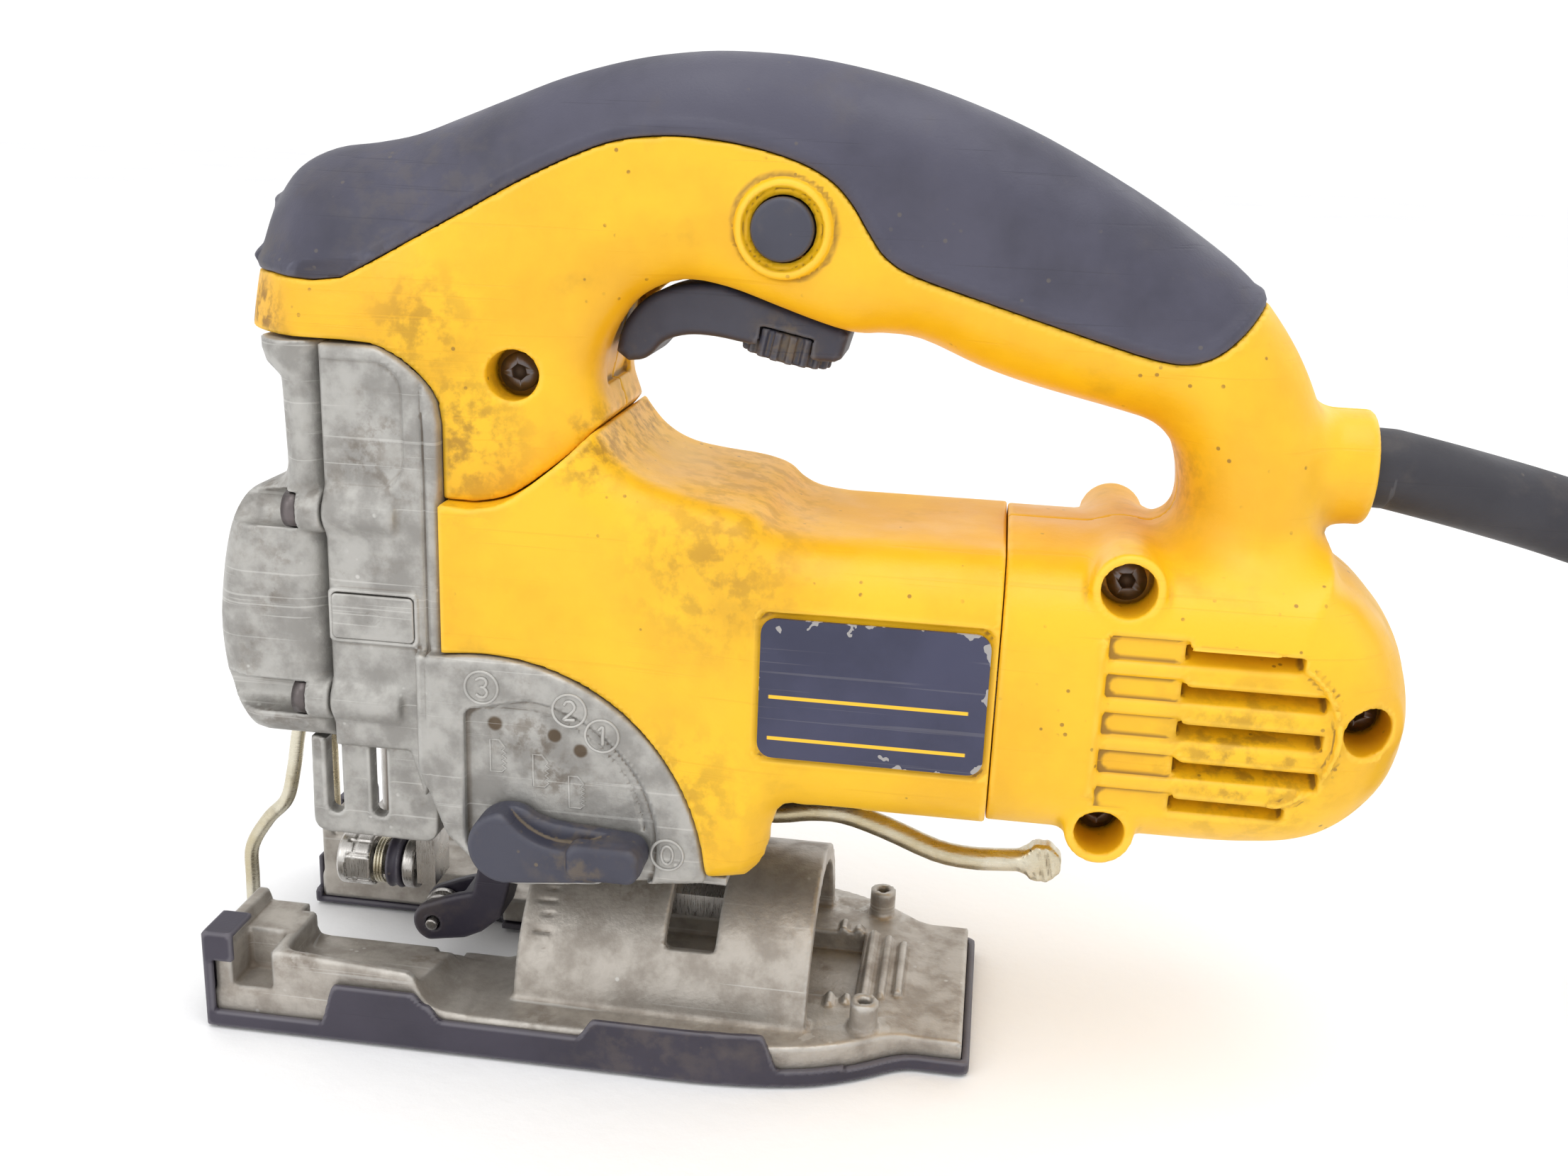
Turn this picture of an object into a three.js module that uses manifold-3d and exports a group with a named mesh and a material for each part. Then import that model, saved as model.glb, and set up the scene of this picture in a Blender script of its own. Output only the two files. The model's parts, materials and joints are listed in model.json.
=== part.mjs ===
// Corded barrel jigsaw with a closed handle, keyless blade clamp and bevelling shoe.
// Millimetres. +X runs from the blade to the motor's rear, +Y to the tool's right side, +Z up.
// The origin is on the sole of the shoe, at the mid-plane, under the bevel trunnion.
import * as THREE from 'three';
import { mergeVertices } from 'three/addons/utils/BufferGeometryUtils.js';
import Module from 'manifold-3d';

const wasm = await Module();
wasm.setup();

// ---------- driving dimensions ----------
const GAP = 0.3;              // clearance kept between touching pieces
const MOTOR_Z = 84.6;         // height of the armature's axis
const MOTOR_HALF_H = 28.4;    // motor casing: half height, half width, corner and bore
const MOTOR_HALF_W = 33.5;
const MOTOR_CORNER = 13;
const MOTOR_BORE = 26.4;
const SEAM_X = 84.7;          // joint between the field case and the rear cover
const REAR_X = 163;           // rearmost point of the motor cover
const HANDLE_HALF_W = 19.5;
const FRONT_HALF_W = 26;
const CASE_HALF_W = 28;       // gear case
const SECTOR_HALF_W = 31.5;   // orbital sector plates on both sides of the gear case
const SECTOR = { x: -17.2, z: 39, r: 46.6 };
const GRIP_THICK = 2.3;       // soft overmould
const WALL = 3;

const PINION_TEETH = 8;
const GEAR_TEETH = 48;
const MODULE = 1;
const GEAR_Z = MOTOR_Z + (MODULE * (PINION_TEETH + GEAR_TEETH)) / 2 + 0.3;
const GEAR_X = [-40, -34];
const CRANK_R = 13;           // half the 26 mm stroke
const PLUNGER = { x: -47, r: 4.5, block: 30.6, top: 137 };   // block: underside of the clamp's block
const CLAMP_Z = 22.2;
const ROLLER = { x: -38.5, z: 10.2, r: 4.6 };
const SWING = { x: -20, z: 44 };   // pivot of the roller bracket
const LEVER = { x: -11, z: 47, sweep: 30.3 };   // pivot of the orbital lever and the reach of its recess

const BEVEL_Z = 4;            // height of the bevel axis over the sole
const TRUNNION = { x0: -12, x1: 51, r: 30, wall: 4 };
const SHOE = { x0: -75, x1: 84, halfW: 38.5, bottom: 1.8, top: 8 };
const FORK_Z = 18;
const POST = { x: 63, y: 25, r: 3 };   // screw posts on the shoe
const CLIP_X = -76.3;

const CORD_R = 3.8;
const SLEEVE_R = 7.9;
const GLAND = { x: 153.5, z: 129.6, r: 11.3 };
const COIL = { x: 289, y: 25, inner: 30.3, outer: 53.7, z0: 1.1, top: 24.5 };

// ---------- finishes ----------
const finish = (color, roughness, metalness) =>
  new THREE.MeshStandardMaterial({ color, roughness, metalness });
const yellow = finish(0xf4b011, 0.5, 0);
const softGrip = finish(0x3d3f4e, 0.75, 0);
const charcoal = finish(0x33343f, 0.6, 0);
const castAlloy = finish(0xa9a79f, 0.5, 0.7);
const shoeAlloy = finish(0xa79e91, 0.55, 0.7);
const coverPlastic = finish(0x2e2b38, 0.6, 0);
const zincSteel = finish(0xb3ab8e, 0.35, 0.9);
const steel = finish(0x9a9792, 0.35, 0.9);
const darkSteel = finish(0x4f4b4b, 0.45, 0.8);
const copper = finish(0xb06a3a, 0.4, 0.9);
const labelFilm = finish(0x2c2f45, 0.4, 0);
const cordRubber = finish(0x2b2a33, 0.8, 0);

// ---------- building blocks ----------
const v2 = (x, y) => new THREE.Vector2(x, y);
const SIDE = new THREE.Matrix4().makeBasis(  // outline (x, z), drawn as seen from -Y
  new THREE.Vector3(1, 0, 0), new THREE.Vector3(0, 0, 1), new THREE.Vector3(0, -1, 0));
const FRONT = new THREE.Matrix4().makeBasis( // outline (y, z), pushed along X
  new THREE.Vector3(0, 1, 0), new THREE.Vector3(0, 0, 1), new THREE.Vector3(1, 0, 0));
const PLAN = new THREE.Matrix4();            // outline (x, y), pushed along Z

function solid(geometry) {
  const g = geometry.clone();
  g.deleteAttribute('normal');
  g.deleteAttribute('uv');
  const merged = mergeVertices(g, 1e-4);
  const p = merged.attributes.position;
  const all = merged.index.array;
  const whole = (i) => all[i] !== all[i + 1] && all[i + 1] !== all[i + 2] && all[i + 2] !== all[i];
  const tri = Uint32Array.from(all).filter((_, k) => whole(k - (k % 3)));
  const at = (i) => new THREE.Vector3().fromBufferAttribute(p, i);
  let volume = 0;
  for (let i = 0; i < tri.length; i += 3) {
    volume += at(tri[i]).dot(at(tri[i + 1]).cross(at(tri[i + 2])));
  }
  if (volume < 0) for (let i = 0; i < tri.length; i += 3) tri.subarray(i, i + 3).reverse();
  return new wasm.Manifold(
    new wasm.Mesh({ numProp: 3, vertProperties: Float32Array.from(p.array), triVerts: tri }));
}

function push(shape, plane, from, to, curve = 1) {
  const g = new THREE.ExtrudeGeometry(shape, { depth: to - from, curveSegments: curve, bevelEnabled: false });
  g.translate(0, 0, from);
  g.applyMatrix4(plane);
  return solid(g);
}
// A side outline spans y0 < y1; the SIDE plane pushes towards -Y.
const side = (shape, y0, y1, curve) => push(shape, SIDE, -y1, -y0, curve);
const front = (shape, x0, x1, curve) => push(shape, FRONT, x0, x1, curve);
const plan = (shape, z0, z1, curve) => push(shape, PLAN, z0, z1, curve);

const union = (...bodies) => bodies.reduce((a, b) => a.add(b));
const cut = (body, ...tools) => tools.reduce((a, b) => a.subtract(b), body);

// An outline moved inwards by t: each edge shifts, and edges that vanish are dropped.
function shrink(points, t) {
  let loop = points.filter((p, i) => p.distanceTo(points[(i + 1) % points.length]) > 0.05);
  if (THREE.ShapeUtils.area(loop) < 0) loop.reverse();
  let edges = loop.map((p, i) => {
    const d = loop[(i + 1) % loop.length].clone().sub(p).normalize();
    return { p: p.clone().add(v2(-d.y, d.x).multiplyScalar(t)), d };
  });
  const meet = (a, b) => {
    const turn = a.d.cross(b.d);
    if (Math.abs(turn) < 1e-3) return b.p.clone();
    return a.p.clone().addScaledVector(a.d, b.p.clone().sub(a.p).cross(b.d) / turn);
  };
  for (;;) {
    const corners = edges.map((e, i) => meet(edges.at(i - 1), e));
    const kept = edges.filter((e, i) => corners[(i + 1) % edges.length].clone().sub(corners[i]).dot(e.d) > 0);
    if (kept.length === edges.length) return new THREE.Shape(corners);
    edges = kept;
  }
}

// A side outline over y0 < y1, thinned by t, whose long edges step back by b like a round-over.
function eased(shape, y0, y1, b, t = 0, curve = 1) {
  const points = shape.getPoints(curve);
  const levels = b > 0 ? [[0, 0.6 * b], [0.6 * b, 0]] : [[0, 0]];
  return union(...levels.map(([narrow, back]) =>
    side(shrink(points, t + narrow), y0 + t + back, y1 - t - back)));
}
const poly = (points) => new THREE.Shape(points.map(([x, y]) => v2(x, y)));
const disc = (x, y, r) => new THREE.Shape().absarc(x, y, r, 0, 2 * Math.PI, false);
function ring(x, y, outer, inner) {
  const s = disc(x, y, outer);
  s.holes.push(new THREE.Path().absarc(x, y, inner, 0, 2 * Math.PI, true));
  return s;
}
const rect = (x0, y0, x1, y1) => poly([[x0, y0], [x1, y0], [x1, y1], [x0, y1]]);
function roundRect(x0, y0, x1, y1, r) {
  return new THREE.Shape().moveTo(x0 + r, y0).lineTo(x1 - r, y0)
    .absarc(x1 - r, y0 + r, r, -Math.PI / 2, 0, false).lineTo(x1, y1 - r)
    .absarc(x1 - r, y1 - r, r, 0, Math.PI / 2, false).lineTo(x0 + r, y1)
    .absarc(x0 + r, y1 - r, r, Math.PI / 2, Math.PI, false).lineTo(x0, y0 + r)
    .absarc(x0 + r, y0 + r, r, Math.PI, 1.5 * Math.PI, false);
}
const box = (x0, x1, y0, y1, z0, z1) => side(rect(x0, z0, x1, z1), y0, y1);
const ROUND = 8; // half the number of facets on a round piece
const barY = (x, z, r, y0, y1, curve = ROUND) => side(disc(x, z, r), y0, y1, curve);
const barX = (y, z, r, x0, x1, curve = ROUND) => front(disc(y, z, r), x0, x1, curve);
const barZ = (x, y, r, z0, z1, curve = ROUND) => plan(disc(x, y, r), z0, z1, curve);
const tubeX = (y, z, outer, inner, x0, x1, curve = ROUND) =>
  front(ring(y, z, outer, inner), x0, x1, curve);

// A turned piece: profile of [radius, height] about its own axis, closed on the axis.
function turned(profile, matrix, segments = 2 * ROUND) {
  const g = new THREE.LatheGeometry(profile.map(([r, h]) => v2(r, h)), segments);
  g.applyMatrix4(matrix);
  return solid(g);
}
const turnX = (x, y, z) => new THREE.Matrix4().makeTranslation(x, y, z)
  .multiply(new THREE.Matrix4().makeRotationZ(-Math.PI / 2));
const turnZ = (x, y, z) => new THREE.Matrix4().makeTranslation(x, y, z)
  .multiply(new THREE.Matrix4().makeRotationX(Math.PI / 2));

// A rod of round section along a smooth path.
function rod(points, r, steps, facets = 5) {
  const path = new THREE.CatmullRomCurve3(points.map((p) => new THREE.Vector3(...p)), false,
    'centripetal');
  return solid(new THREE.ExtrudeGeometry(disc(0, 0, r),
    { steps, bevelEnabled: false, extrudePath: path, curveSegments: facets }));
}

const group = new THREE.Group();
function add(name, body, material) {
  const mesh = body.getMesh();
  const g = new THREE.BufferGeometry();
  g.setAttribute('position', new THREE.BufferAttribute(mesh.vertProperties, 3));
  g.setIndex(new THREE.BufferAttribute(mesh.triVerts, 1));
  g.computeVertexNormals();
  const node = new THREE.Mesh(g, material);
  node.name = name;
  group.add(node);
}
const LEFT = box(-400, 400, -200, -GAP / 2, -50, 400);
const RIGHT = box(-400, 400, GAP / 2, 200, -50, 400);

// ---------- outlines seen from the side ----------
// The whole clamshell: front top, handle, rear pillar and motor cover, around the hand opening.
function clamOutline() {
  return new THREE.Shape().moveTo(-70.4, 143.9)
    .splineThru([v2(-68, 157.8), v2(-64.5, 170), v2(-58.8, 178.2), v2(-45.5, 182.4), v2(-27.6, 188),
      v2(-6.7, 196.7), v2(20, 202), v2(48, 200.8), v2(75, 193.4), v2(102.8, 180.2), v2(125.4, 165.7),
      v2(138.7, 149.6)])
    .lineTo(144.5, 139).lineTo(144.8, 116.5)
    .splineThru([v2(148, 110), v2(157, 102), v2(REAR_X, 84), v2(157, 66.5), v2(146, 58.6)])
    .lineTo(128, MOTOR_Z - MOTOR_HALF_H).lineTo(SEAM_X, MOTOR_Z - MOTOR_HALF_H)
    .lineTo(SEAM_X, MOTOR_Z + MOTOR_HALF_H).lineTo(110, MOTOR_Z + MOTOR_HALF_H)
    .splineThru([v2(116.6, 116.4), v2(117, 128.5), v2(111.9, 136.2), v2(98.9, 139.8)])
    .lineTo(77, 145.6).splineThru([v2(65, 150.7), v2(51, 151.6)])
    .lineTo(38.5, 155.6).splineThru([v2(24, 159.6), v2(14.4, 158.8), v2(7.2, 152.9), v2(3.5, 144.7)])
    .lineTo(4.8, 133).lineTo(-8, 120.6).splineThru([v2(-15.3, 116.4), v2(-26, 116)])
    .lineTo(-26, 132).splineThru([v2(-29.5, 140.6), v2(-39.6, 145.9)]).lineTo(-58.9, 146.2);
}
// Region of the soft grip, from its lower edge up past the silhouette.
function gripOutline(grow) {
  return new THREE.Shape().moveTo(-90, 158 - grow).lineTo(-46, 158 - grow)
    .splineThru([v2(-31.5, 166 - grow), v2(-11.9, 177.2 - grow), v2(6.8, 185.5 - grow),
      v2(28, 185.8 - grow), v2(46.5 - grow, 180.5 - grow), v2(54 - grow, 172 - grow),
      v2(62, 164 - grow), v2(99.6, 152.9 - grow), v2(113 + grow, 150 - grow),
      v2(121.2 + grow, 153 - grow), v2(131 + grow, 162)])
    .lineTo(150, 172).lineTo(150, 220).lineTo(-90, 220);
}

const inset = (x0, x1, z0, z1, y) => box(x0, x1, -y, y, z0, z1);

// The clamshell's outer form, thinned by t all round.
function clamForm(t) {
  const form = (halfW) => eased(clamOutline(), -halfW, halfW, t > WALL ? 0 : 5, t);
  const frontPart = form(FRONT_HALF_W).intersect(inset(-100, 8, 0, 300, 100));
  const coverBlock = front(roundRect(-MOTOR_HALF_W + t, MOTOR_Z - MOTOR_HALF_H + t, MOTOR_HALF_W - t,
    MOTOR_Z + MOTOR_HALF_H - t, MOTOR_CORNER), SEAM_X, 200, 3);
  const rear = form(MOTOR_HALF_W + 4).intersect(coverBlock);
  return union(form(HANDLE_HALF_W), frontPart, rear);
}

// ---------- handle clamshell, soft grip and their screws ----------
const SCREWS = [
  { name: 'front', x: -12.7, z: 140.9, y: 25.5, seat: 15 },
  { name: 'upper_rear', x: 107.5, z: 109.5, y: 31.5, seat: 21 },
  { name: 'end', x: 153.6, z: 85.6, y: 26, seat: 17 },
  { name: 'lower_rear', x: 106.7, z: 60.3, y: 29, seat: 17 },
];
const HEAD_R = 3.8;
const SHANK_R = 1.9;
const TRIGGER_AXIS = new THREE.Vector3(0.2, 0, 0.98).normalize();
const LOCK = { x: 38.8, z: 170.9, r: 5.9, room: 8 };
const VENT = { x0: 118.8, x1: 139.5, pitch: 7.6, half: 1.65 };

function clamshell() {
  const outer = clamForm(0);
  const gripZone = side(gripOutline(0), -60, 60);
  const gripRoom = side(gripOutline(GAP), -60, 60);
  const grip = outer.subtract(clamForm(GRIP_THICK)).intersect(gripZone);
  const core = clamForm(GRIP_THICK + GAP);
  let shell = outer.subtract(gripRoom).add(core).subtract(clamForm(GRIP_THICK + WALL));
  const motorRoom = barX(0, MOTOR_Z, MOTOR_BORE, SEAM_X - 5, 148, 10);
  const plungerRoom = barZ(PLUNGER.x, 0, 6, 140, 168);
  shell = cut(shell, motorRoom, plungerRoom);
  for (const s of SCREWS) {
    shell = shell.add(barY(s.x, s.z, 6.8, -s.y, s.y, 5));
    shell = cut(shell, barY(s.x, s.z, 5, -60, -s.seat, 6), barY(s.x, s.z, SHANK_R + 0.3, -60, 12, 4));
  }
  const gland = barX(0, GLAND.z, GLAND.r, 138, GLAND.x);
  shell = cut(shell.add(gland), barX(0, GLAND.z, SLEEVE_R + GAP, 143, 170), barX(0, GLAND.z, 5, 130, 150));
  const triggerRoom = poly([[1.5, 140], [6, 160], [13, 167], [32, 168], [56, 162], [53, 140]]);
  shell = cut(shell, side(triggerRoom, -9.5, 9.5));
  shell = cut(shell, barY(LOCK.x, LOCK.z, LOCK.r + GAP, -60, -LOCK.room));
  for (let i = -2; i <= 2; i++) {
    const z = MOTOR_Z + i * VENT.pitch;
    const reach = Math.abs(i) === 2 ? VENT.x1 - 4 : VENT.x1;
    shell = cut(shell, inset(VENT.x0, reach, z - VENT.half, z + VENT.half, 60));
  }
  return { shell, grip };
}
const clam = clamshell();
const biggest = (body) => {
  const pieces = body.decompose();
  return pieces.sort((a, b) => b.volume() - a.volume())[0];
};
add('handle_shell_left', biggest(clam.shell.intersect(LEFT)), yellow);
add('handle_shell_right', biggest(clam.shell.intersect(RIGHT)), yellow);
add('grip_left', biggest(clam.grip.intersect(LEFT)), softGrip);
add('grip_right', biggest(clam.grip.intersect(RIGHT)), softGrip);
for (const s of SCREWS) {
  const top = -s.seat - GAP;
  add(`handle_screw_${s.name}`,
    barY(s.x, s.z, HEAD_R, top - 2.8, top, 5).add(barY(s.x, s.z, SHANK_R - 0.2, top - 1, 10, 4)),
    darkSteel);
}

// ---------- trigger, speed dial, lock button and switch ----------
const DIAL = { x: 38.2, z: 147.6, r: 8.6, half: 1.9 };
function tilt(body, x, z) {
  const angle = Math.atan2(TRIGGER_AXIS.x, TRIGGER_AXIS.z) * 180 / Math.PI;
  return body.translate([-x, 0, -z]).rotate([0, angle, 0]).translate([x, 0, z]);
}
const dialSlot = tilt(barZ(DIAL.x, 0, DIAL.r + GAP, DIAL.z - DIAL.half - GAP, DIAL.z + DIAL.half + GAP),
  DIAL.x, DIAL.z);
const triggerOutline = new THREE.Shape().moveTo(4.4, 144.6)
  .splineThru([v2(8, 153), v2(15, 158), v2(25, 159)])
  .lineTo(50.6, 151.2).lineTo(49.2, 145).lineTo(43.5, 144.8).lineTo(29.7, 147.9)
  .splineThru([v2(19.2, 149), v2(13, 147.2), v2(8.6, 143)]);
add('trigger', eased(triggerOutline, -8.6, 8.6, 1.2, 0, 2).subtract(dialSlot)
  .add(tilt(barZ(DIAL.x, 0, 2, DIAL.z - DIAL.half - 0.6, DIAL.z + DIAL.half + 0.6, 6), DIAL.x, DIAL.z)),
  charcoal);
add('speed_dial', tilt(plan(ring(DIAL.x, 0, DIAL.r, 2.3), DIAL.z - DIAL.half, DIAL.z + DIAL.half,
  10), DIAL.x, DIAL.z), charcoal);
add('lock_button', barY(LOCK.x, LOCK.z, LOCK.r, -22.5, -14.2), charcoal);
add('switch_module', box(6, 58, -8.5, 8.5, 166.5, 184).subtract(box(26, 50, -9, -5, 164, 178)),
  charcoal);

// ---------- motor casing ----------
function fieldCase() {
  const barrel = front(roundRect(-MOTOR_HALF_W, MOTOR_Z - MOTOR_HALF_H, MOTOR_HALF_W,
    MOTOR_Z + MOTOR_HALF_H, MOTOR_CORNER), -6, SEAM_X - GAP, 4);
  const block = new THREE.Shape().moveTo(-26, 115.6).lineTo(-15.3, 116)
    .splineThru([v2(-7.8, 120), v2(3.6, 131)]).lineTo(14.8, 121.4)
    .lineTo(34, 118).lineTo(42, MOTOR_Z + MOTOR_HALF_H).lineTo(50, 100).lineTo(43.5, 64).lineTo(43, 51.3)
    .lineTo(40.8, 44.8).lineTo(37.4, 41.7).lineTo(29.8, 41.5)
    .absarc(SECTOR.x, SECTOR.z, SECTOR.r + GAP, 0.05, 1.745, false)
    .lineTo(-26, 85.9);
  const body = barrel.intersect(box(-26, 100, -60, 60, SECTOR.z + SECTOR.r + 1, 130)
    .add(inset(30, 100, 40, 130, 60)).add(side(disc(60, MOTOR_Z, 50), -60, 60))).add(
    eased(block, -31, 31, 3, 0, 4));
  const sectorRoom = side(disc(SECTOR.x, SECTOR.z, SECTOR.r + GAP), -60, 60, 24);
  return cut(body, sectorRoom, barX(0, MOTOR_Z, MOTOR_BORE, -40, 120, 10),
    inset(-30, 36, 30, 70, 26.5), inset(30, 60, 30, 53.3, 26.5));
}
add('field_case', biggest(fieldCase()), yellow);
for (const [name, s] of [['left', -1], ['right', 1]]) {
  const near = s * (MOTOR_HALF_W + GAP);
  const far = s * (MOTOR_HALF_W + GAP + 0.6);
  add(`label_plate_${name}`,
    side(roundRect(39.5, 71.3, 83.2, 99.7, 3), Math.min(near, far), Math.max(near, far), 3),
    labelFilm);
}

// ---------- motor ----------
const gearWheel = (teeth, phase, backlash = 0.5) => {
  const pitchR = (MODULE * teeth) / 2;
  const half = (Math.PI * MODULE / 2 - backlash) / 2;
  const lean = Math.tan(Math.PI / 9);
  const corner = (r, w, sign) => [r, sign * (w - lean * (r - pitchR)) / r];
  const points = [];
  for (let i = 0; i < teeth; i++) {
    const centre = phase + (i * 2 * Math.PI) / teeth;
    for (const [r, a] of [corner(pitchR - 1.25, half, -1), corner(pitchR + 1, half, -1),
      corner(pitchR + 1, half, 1), corner(pitchR - 1.25, half, 1)]) {
      points.push([r * Math.cos(centre + a), r * Math.sin(centre + a)]);
    }
  }
  return points;
};
const shaft = turned([[0, -42], [3.2, -42], [3.2, -29.5], [4, -29.5], [4, 118], [3.2, 118], [3.2, 128],
  [0, 128]], turnX(0, 0, MOTOR_Z));
const pinion = front(poly(gearWheel(PINION_TEETH, Math.PI / 2 + Math.PI / PINION_TEETH)
  .map(([y, z]) => [y, z + MOTOR_Z])), -41.5, -32);
add('armature_shaft', shaft.add(pinion), steel);
add('armature_core', tubeX(0, MOTOR_Z, 18.5, 4.2, 24, 66), darkSteel);
add('commutator', tubeX(0, MOTOR_Z, 11.5, 4.2, 80, 96), copper);
add('fan', cut(tubeX(0, MOTOR_Z, 24, 4.2, 4, 12), tubeX(0, MOTOR_Z, 26, 9, 6, 14)).add(union(
  ...Array.from({ length: 8 }, (_, i) => box(5, 12, -0.8, 0.8, 10, 23).rotate([i * 45, 0, 0])
    .translate([0, 0, MOTOR_Z])))), charcoal);
add('stator', tubeX(0, MOTOR_Z, 25.6, 19.2, 28, 62), darkSteel);
add('front_bearing', tubeX(0, MOTOR_Z, 11, 4.2, -29.5, -22.5), steel);
add('rear_bearing', tubeX(0, MOTOR_Z, 9.5, 3.4, 119, 126), steel);
for (const [name, s] of [['left', -1], ['right', 1]]) {
  const span = (a, b) => [Math.min(s * a, s * b), Math.max(s * a, s * b)];
  add(`brush_holder_${name}`, cut(box(83, 93, ...span(14, 25), MOTOR_Z - 6, MOTOR_Z + 6),
    box(84.7, 91.3, ...span(10, 24.3), MOTOR_Z - 4.3, MOTOR_Z + 4.3)), zincSteel);
  add(`carbon_brush_${name}`,
    box(85, 91, ...span(12, 24), MOTOR_Z - 4, MOTOR_Z + 4), darkSteel);
}

// ---------- gear case and its front cover ----------
const CASE_BACK = -26.3;
const COVER_SCREWS = { y: 26.3, z: [112.1, 72.2] };
const GEAR_TIP_R = MODULE * (GEAR_TEETH / 2 + 1);
const BUSH_R = 6.5;
const COVER_X = -50.2;
const SKIRT_SLOTS = [-52.2, -42.4];
const BEVEL_LEVER = { x: 25.2, z: 43.7 };   // pivot of the bevel lever, on its bolt
function gearCase() {
  const outline = new THREE.Shape().moveTo(COVER_X, 145.5).lineTo(-39.6, 145.5)
    .splineThru([v2(-30.2, 140.2), v2(CASE_BACK, 131.5)]).lineTo(CASE_BACK, 62)
    .lineTo(-31, 52).lineTo(-34, 62).lineTo(COVER_X, 62);
  const sector = new THREE.Shape().moveTo(-31, 60).lineTo(-31, 84.6).lineTo(-26, 84.6)
    .absarc(SECTOR.x, SECTOR.z, SECTOR.r, 1.75, 0.045, true).lineTo(29, 40.2).lineTo(-10, 35.9)
    .absarc(LEVER.x, LEVER.z, 11, -1.5, -2.3, true).lineTo(-27.5, 51.8);
  const sweep = new THREE.Shape().moveTo(LEVER.x, LEVER.z).lineTo(LEVER.x + LEVER.sweep, LEVER.z)
    .absarc(LEVER.x, LEVER.z, LEVER.sweep, 0, 1.83, false);
  const skirt = roundRect(-57.3, 40, -29.5, 66, 2.5);
  let body = union(eased(outline, -CASE_HALF_W, CASE_HALF_W, 1.5, 0, 2),
    side(sector, -SECTOR_HALF_W, SECTOR_HALF_W, 9),
    side(skirt, -24, 24, 2).subtract(inset(-60, COVER_X, 61.7, 80, 40)), barX(0, MOTOR_Z, 15, -30, -22));
  const saddle = inset(-8, 38, 30, 40.2, 19).add(inset(-8, 38, 38.4, 40.2, 26.5))
    .subtract(barX(0, BEVEL_Z, TRUNNION.r + GAP, -20, 60, 20));
  body = cut(body, inset(COVER_X - 1, -30, 68, 142, 25.5),
    inset(-28, 27, 56, 100, 27), inset(-28, 60, 30, 56, 26), inset(-58, -31, 38, 63.5, 20.5));
  body = body.add(saddle).add(barX(0, MOTOR_Z, 15, -30, -22));
  for (const s of [-1, 1]) {
    const y = [Math.min(s * 7, s * 11), Math.max(s * 7, s * 11)];
    body = body.add(side(poly([[-26, 40.5], [-14, 40.5], [-7, 46], [-7, 56], [-28, 60], [-28, 44]]), ...y))
      .add(box(-28, -20, Math.min(s * 7, s * 27), Math.max(s * 7, s * 27), 52, 56));
  }
  for (const x of SKIRT_SLOTS) {
    body = body.subtract(side(roundRect(x - 1.5, 45, x + 1.5, 62.5, 1.4), -60, 60));
  }
  body = cut(body, barX(0, MOTOR_Z, 11 + GAP, -60, -20), barX(0, GEAR_Z, 4, -60, -20),
    barZ(PLUNGER.x, 0, BUSH_R + 0.4, 55, 75), barZ(PLUNGER.x, 0, BUSH_R + 0.4, 130, 150),
    barZ(BEVEL_LEVER.x, 0, 3.4, 30, 45, 8), barY(SWING.x, SWING.z, 2.2, -20, 20, 8),
    barY(LEVER.x, LEVER.z, 4.3, -60, -10, 8));
  const floor = -SECTOR_HALF_W + 2.4;
  body = cut(body, side(sweep, -60, floor, 6), barY(LEVER.x, LEVER.z, 9.5, -60, floor),
    box(-21, LEVER.x + 1, -60, floor, 47, 73.5),
    box(LEVER.x, 19, -60, floor, 38.6, 53));
  for (const z of COVER_SCREWS.z) {
    for (const s of [-1, 1]) {
      body = body.add(barX(s * COVER_SCREWS.y, z, 4.4, COVER_X, -33, 6));
      body = body.subtract(barX(s * COVER_SCREWS.y, z, 2.3, -60, -41.5, 6));
    }
  }
  return body.subtract(barX(0, GEAR_Z, GEAR_TIP_R + 0.6, -45, -30));
}
add('gear_case', biggest(gearCase()), castAlloy);

function caseCover() {
  const outline = new THREE.Shape().moveTo(COVER_X - GAP, 145.5).lineTo(-60, 145.3)
    .lineTo(-64, 142).lineTo(-65, 118).splineThru([v2(-72.6, 107), v2(-76.2, 85), v2(-71.5, 64.5)])
    .lineTo(-68, 62).lineTo(COVER_X - GAP, 62);
  const outer = eased(outline, -CASE_HALF_W, CASE_HALF_W, 5, 0, 3);
  const room = inset(-61, -40, 65.5, 142, 21).add(barX(0, 88, 17, -71, -50))
    .add(barZ(PLUNGER.x, 0, PLUNGER.r + 0.5, 130, 160));
  let body = cut(outer, room, inset(-55.5, -40, 60, 70.5, 8.5));
  for (const z of COVER_SCREWS.z) {
    for (const s of [-1, 1]) {
      body = body.add(barX(s * COVER_SCREWS.y, z, 4.4, -56, COVER_X - GAP, 6));
      body = cut(body, barX(s * COVER_SCREWS.y, z, 2.3, -60, -38, 6),
        barX(s * COVER_SCREWS.y, z, 4.4, -80, -55, 6));
    }
  }
  return body;
}
add('gear_case_cover', biggest(caseCover()), castAlloy);
for (const [level, z] of [['upper', COVER_SCREWS.z[0]], ['lower', COVER_SCREWS.z[1]]]) {
  for (const [name, s] of [['left', -1], ['right', 1]]) {
    add(`cover_screw_${level}_${name}`, barX(s * COVER_SCREWS.y, z, 3.8, -58.2, -55.3, 6)
      .add(barX(s * COVER_SCREWS.y, z, 1.9, -56, -42, 5)), darkSteel);
  }
}
add('access_plug', box(-48.9, -31.8, -CASE_HALF_W - 1, -CASE_HALF_W - GAP, 86.3, 95.8), castAlloy);

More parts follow.
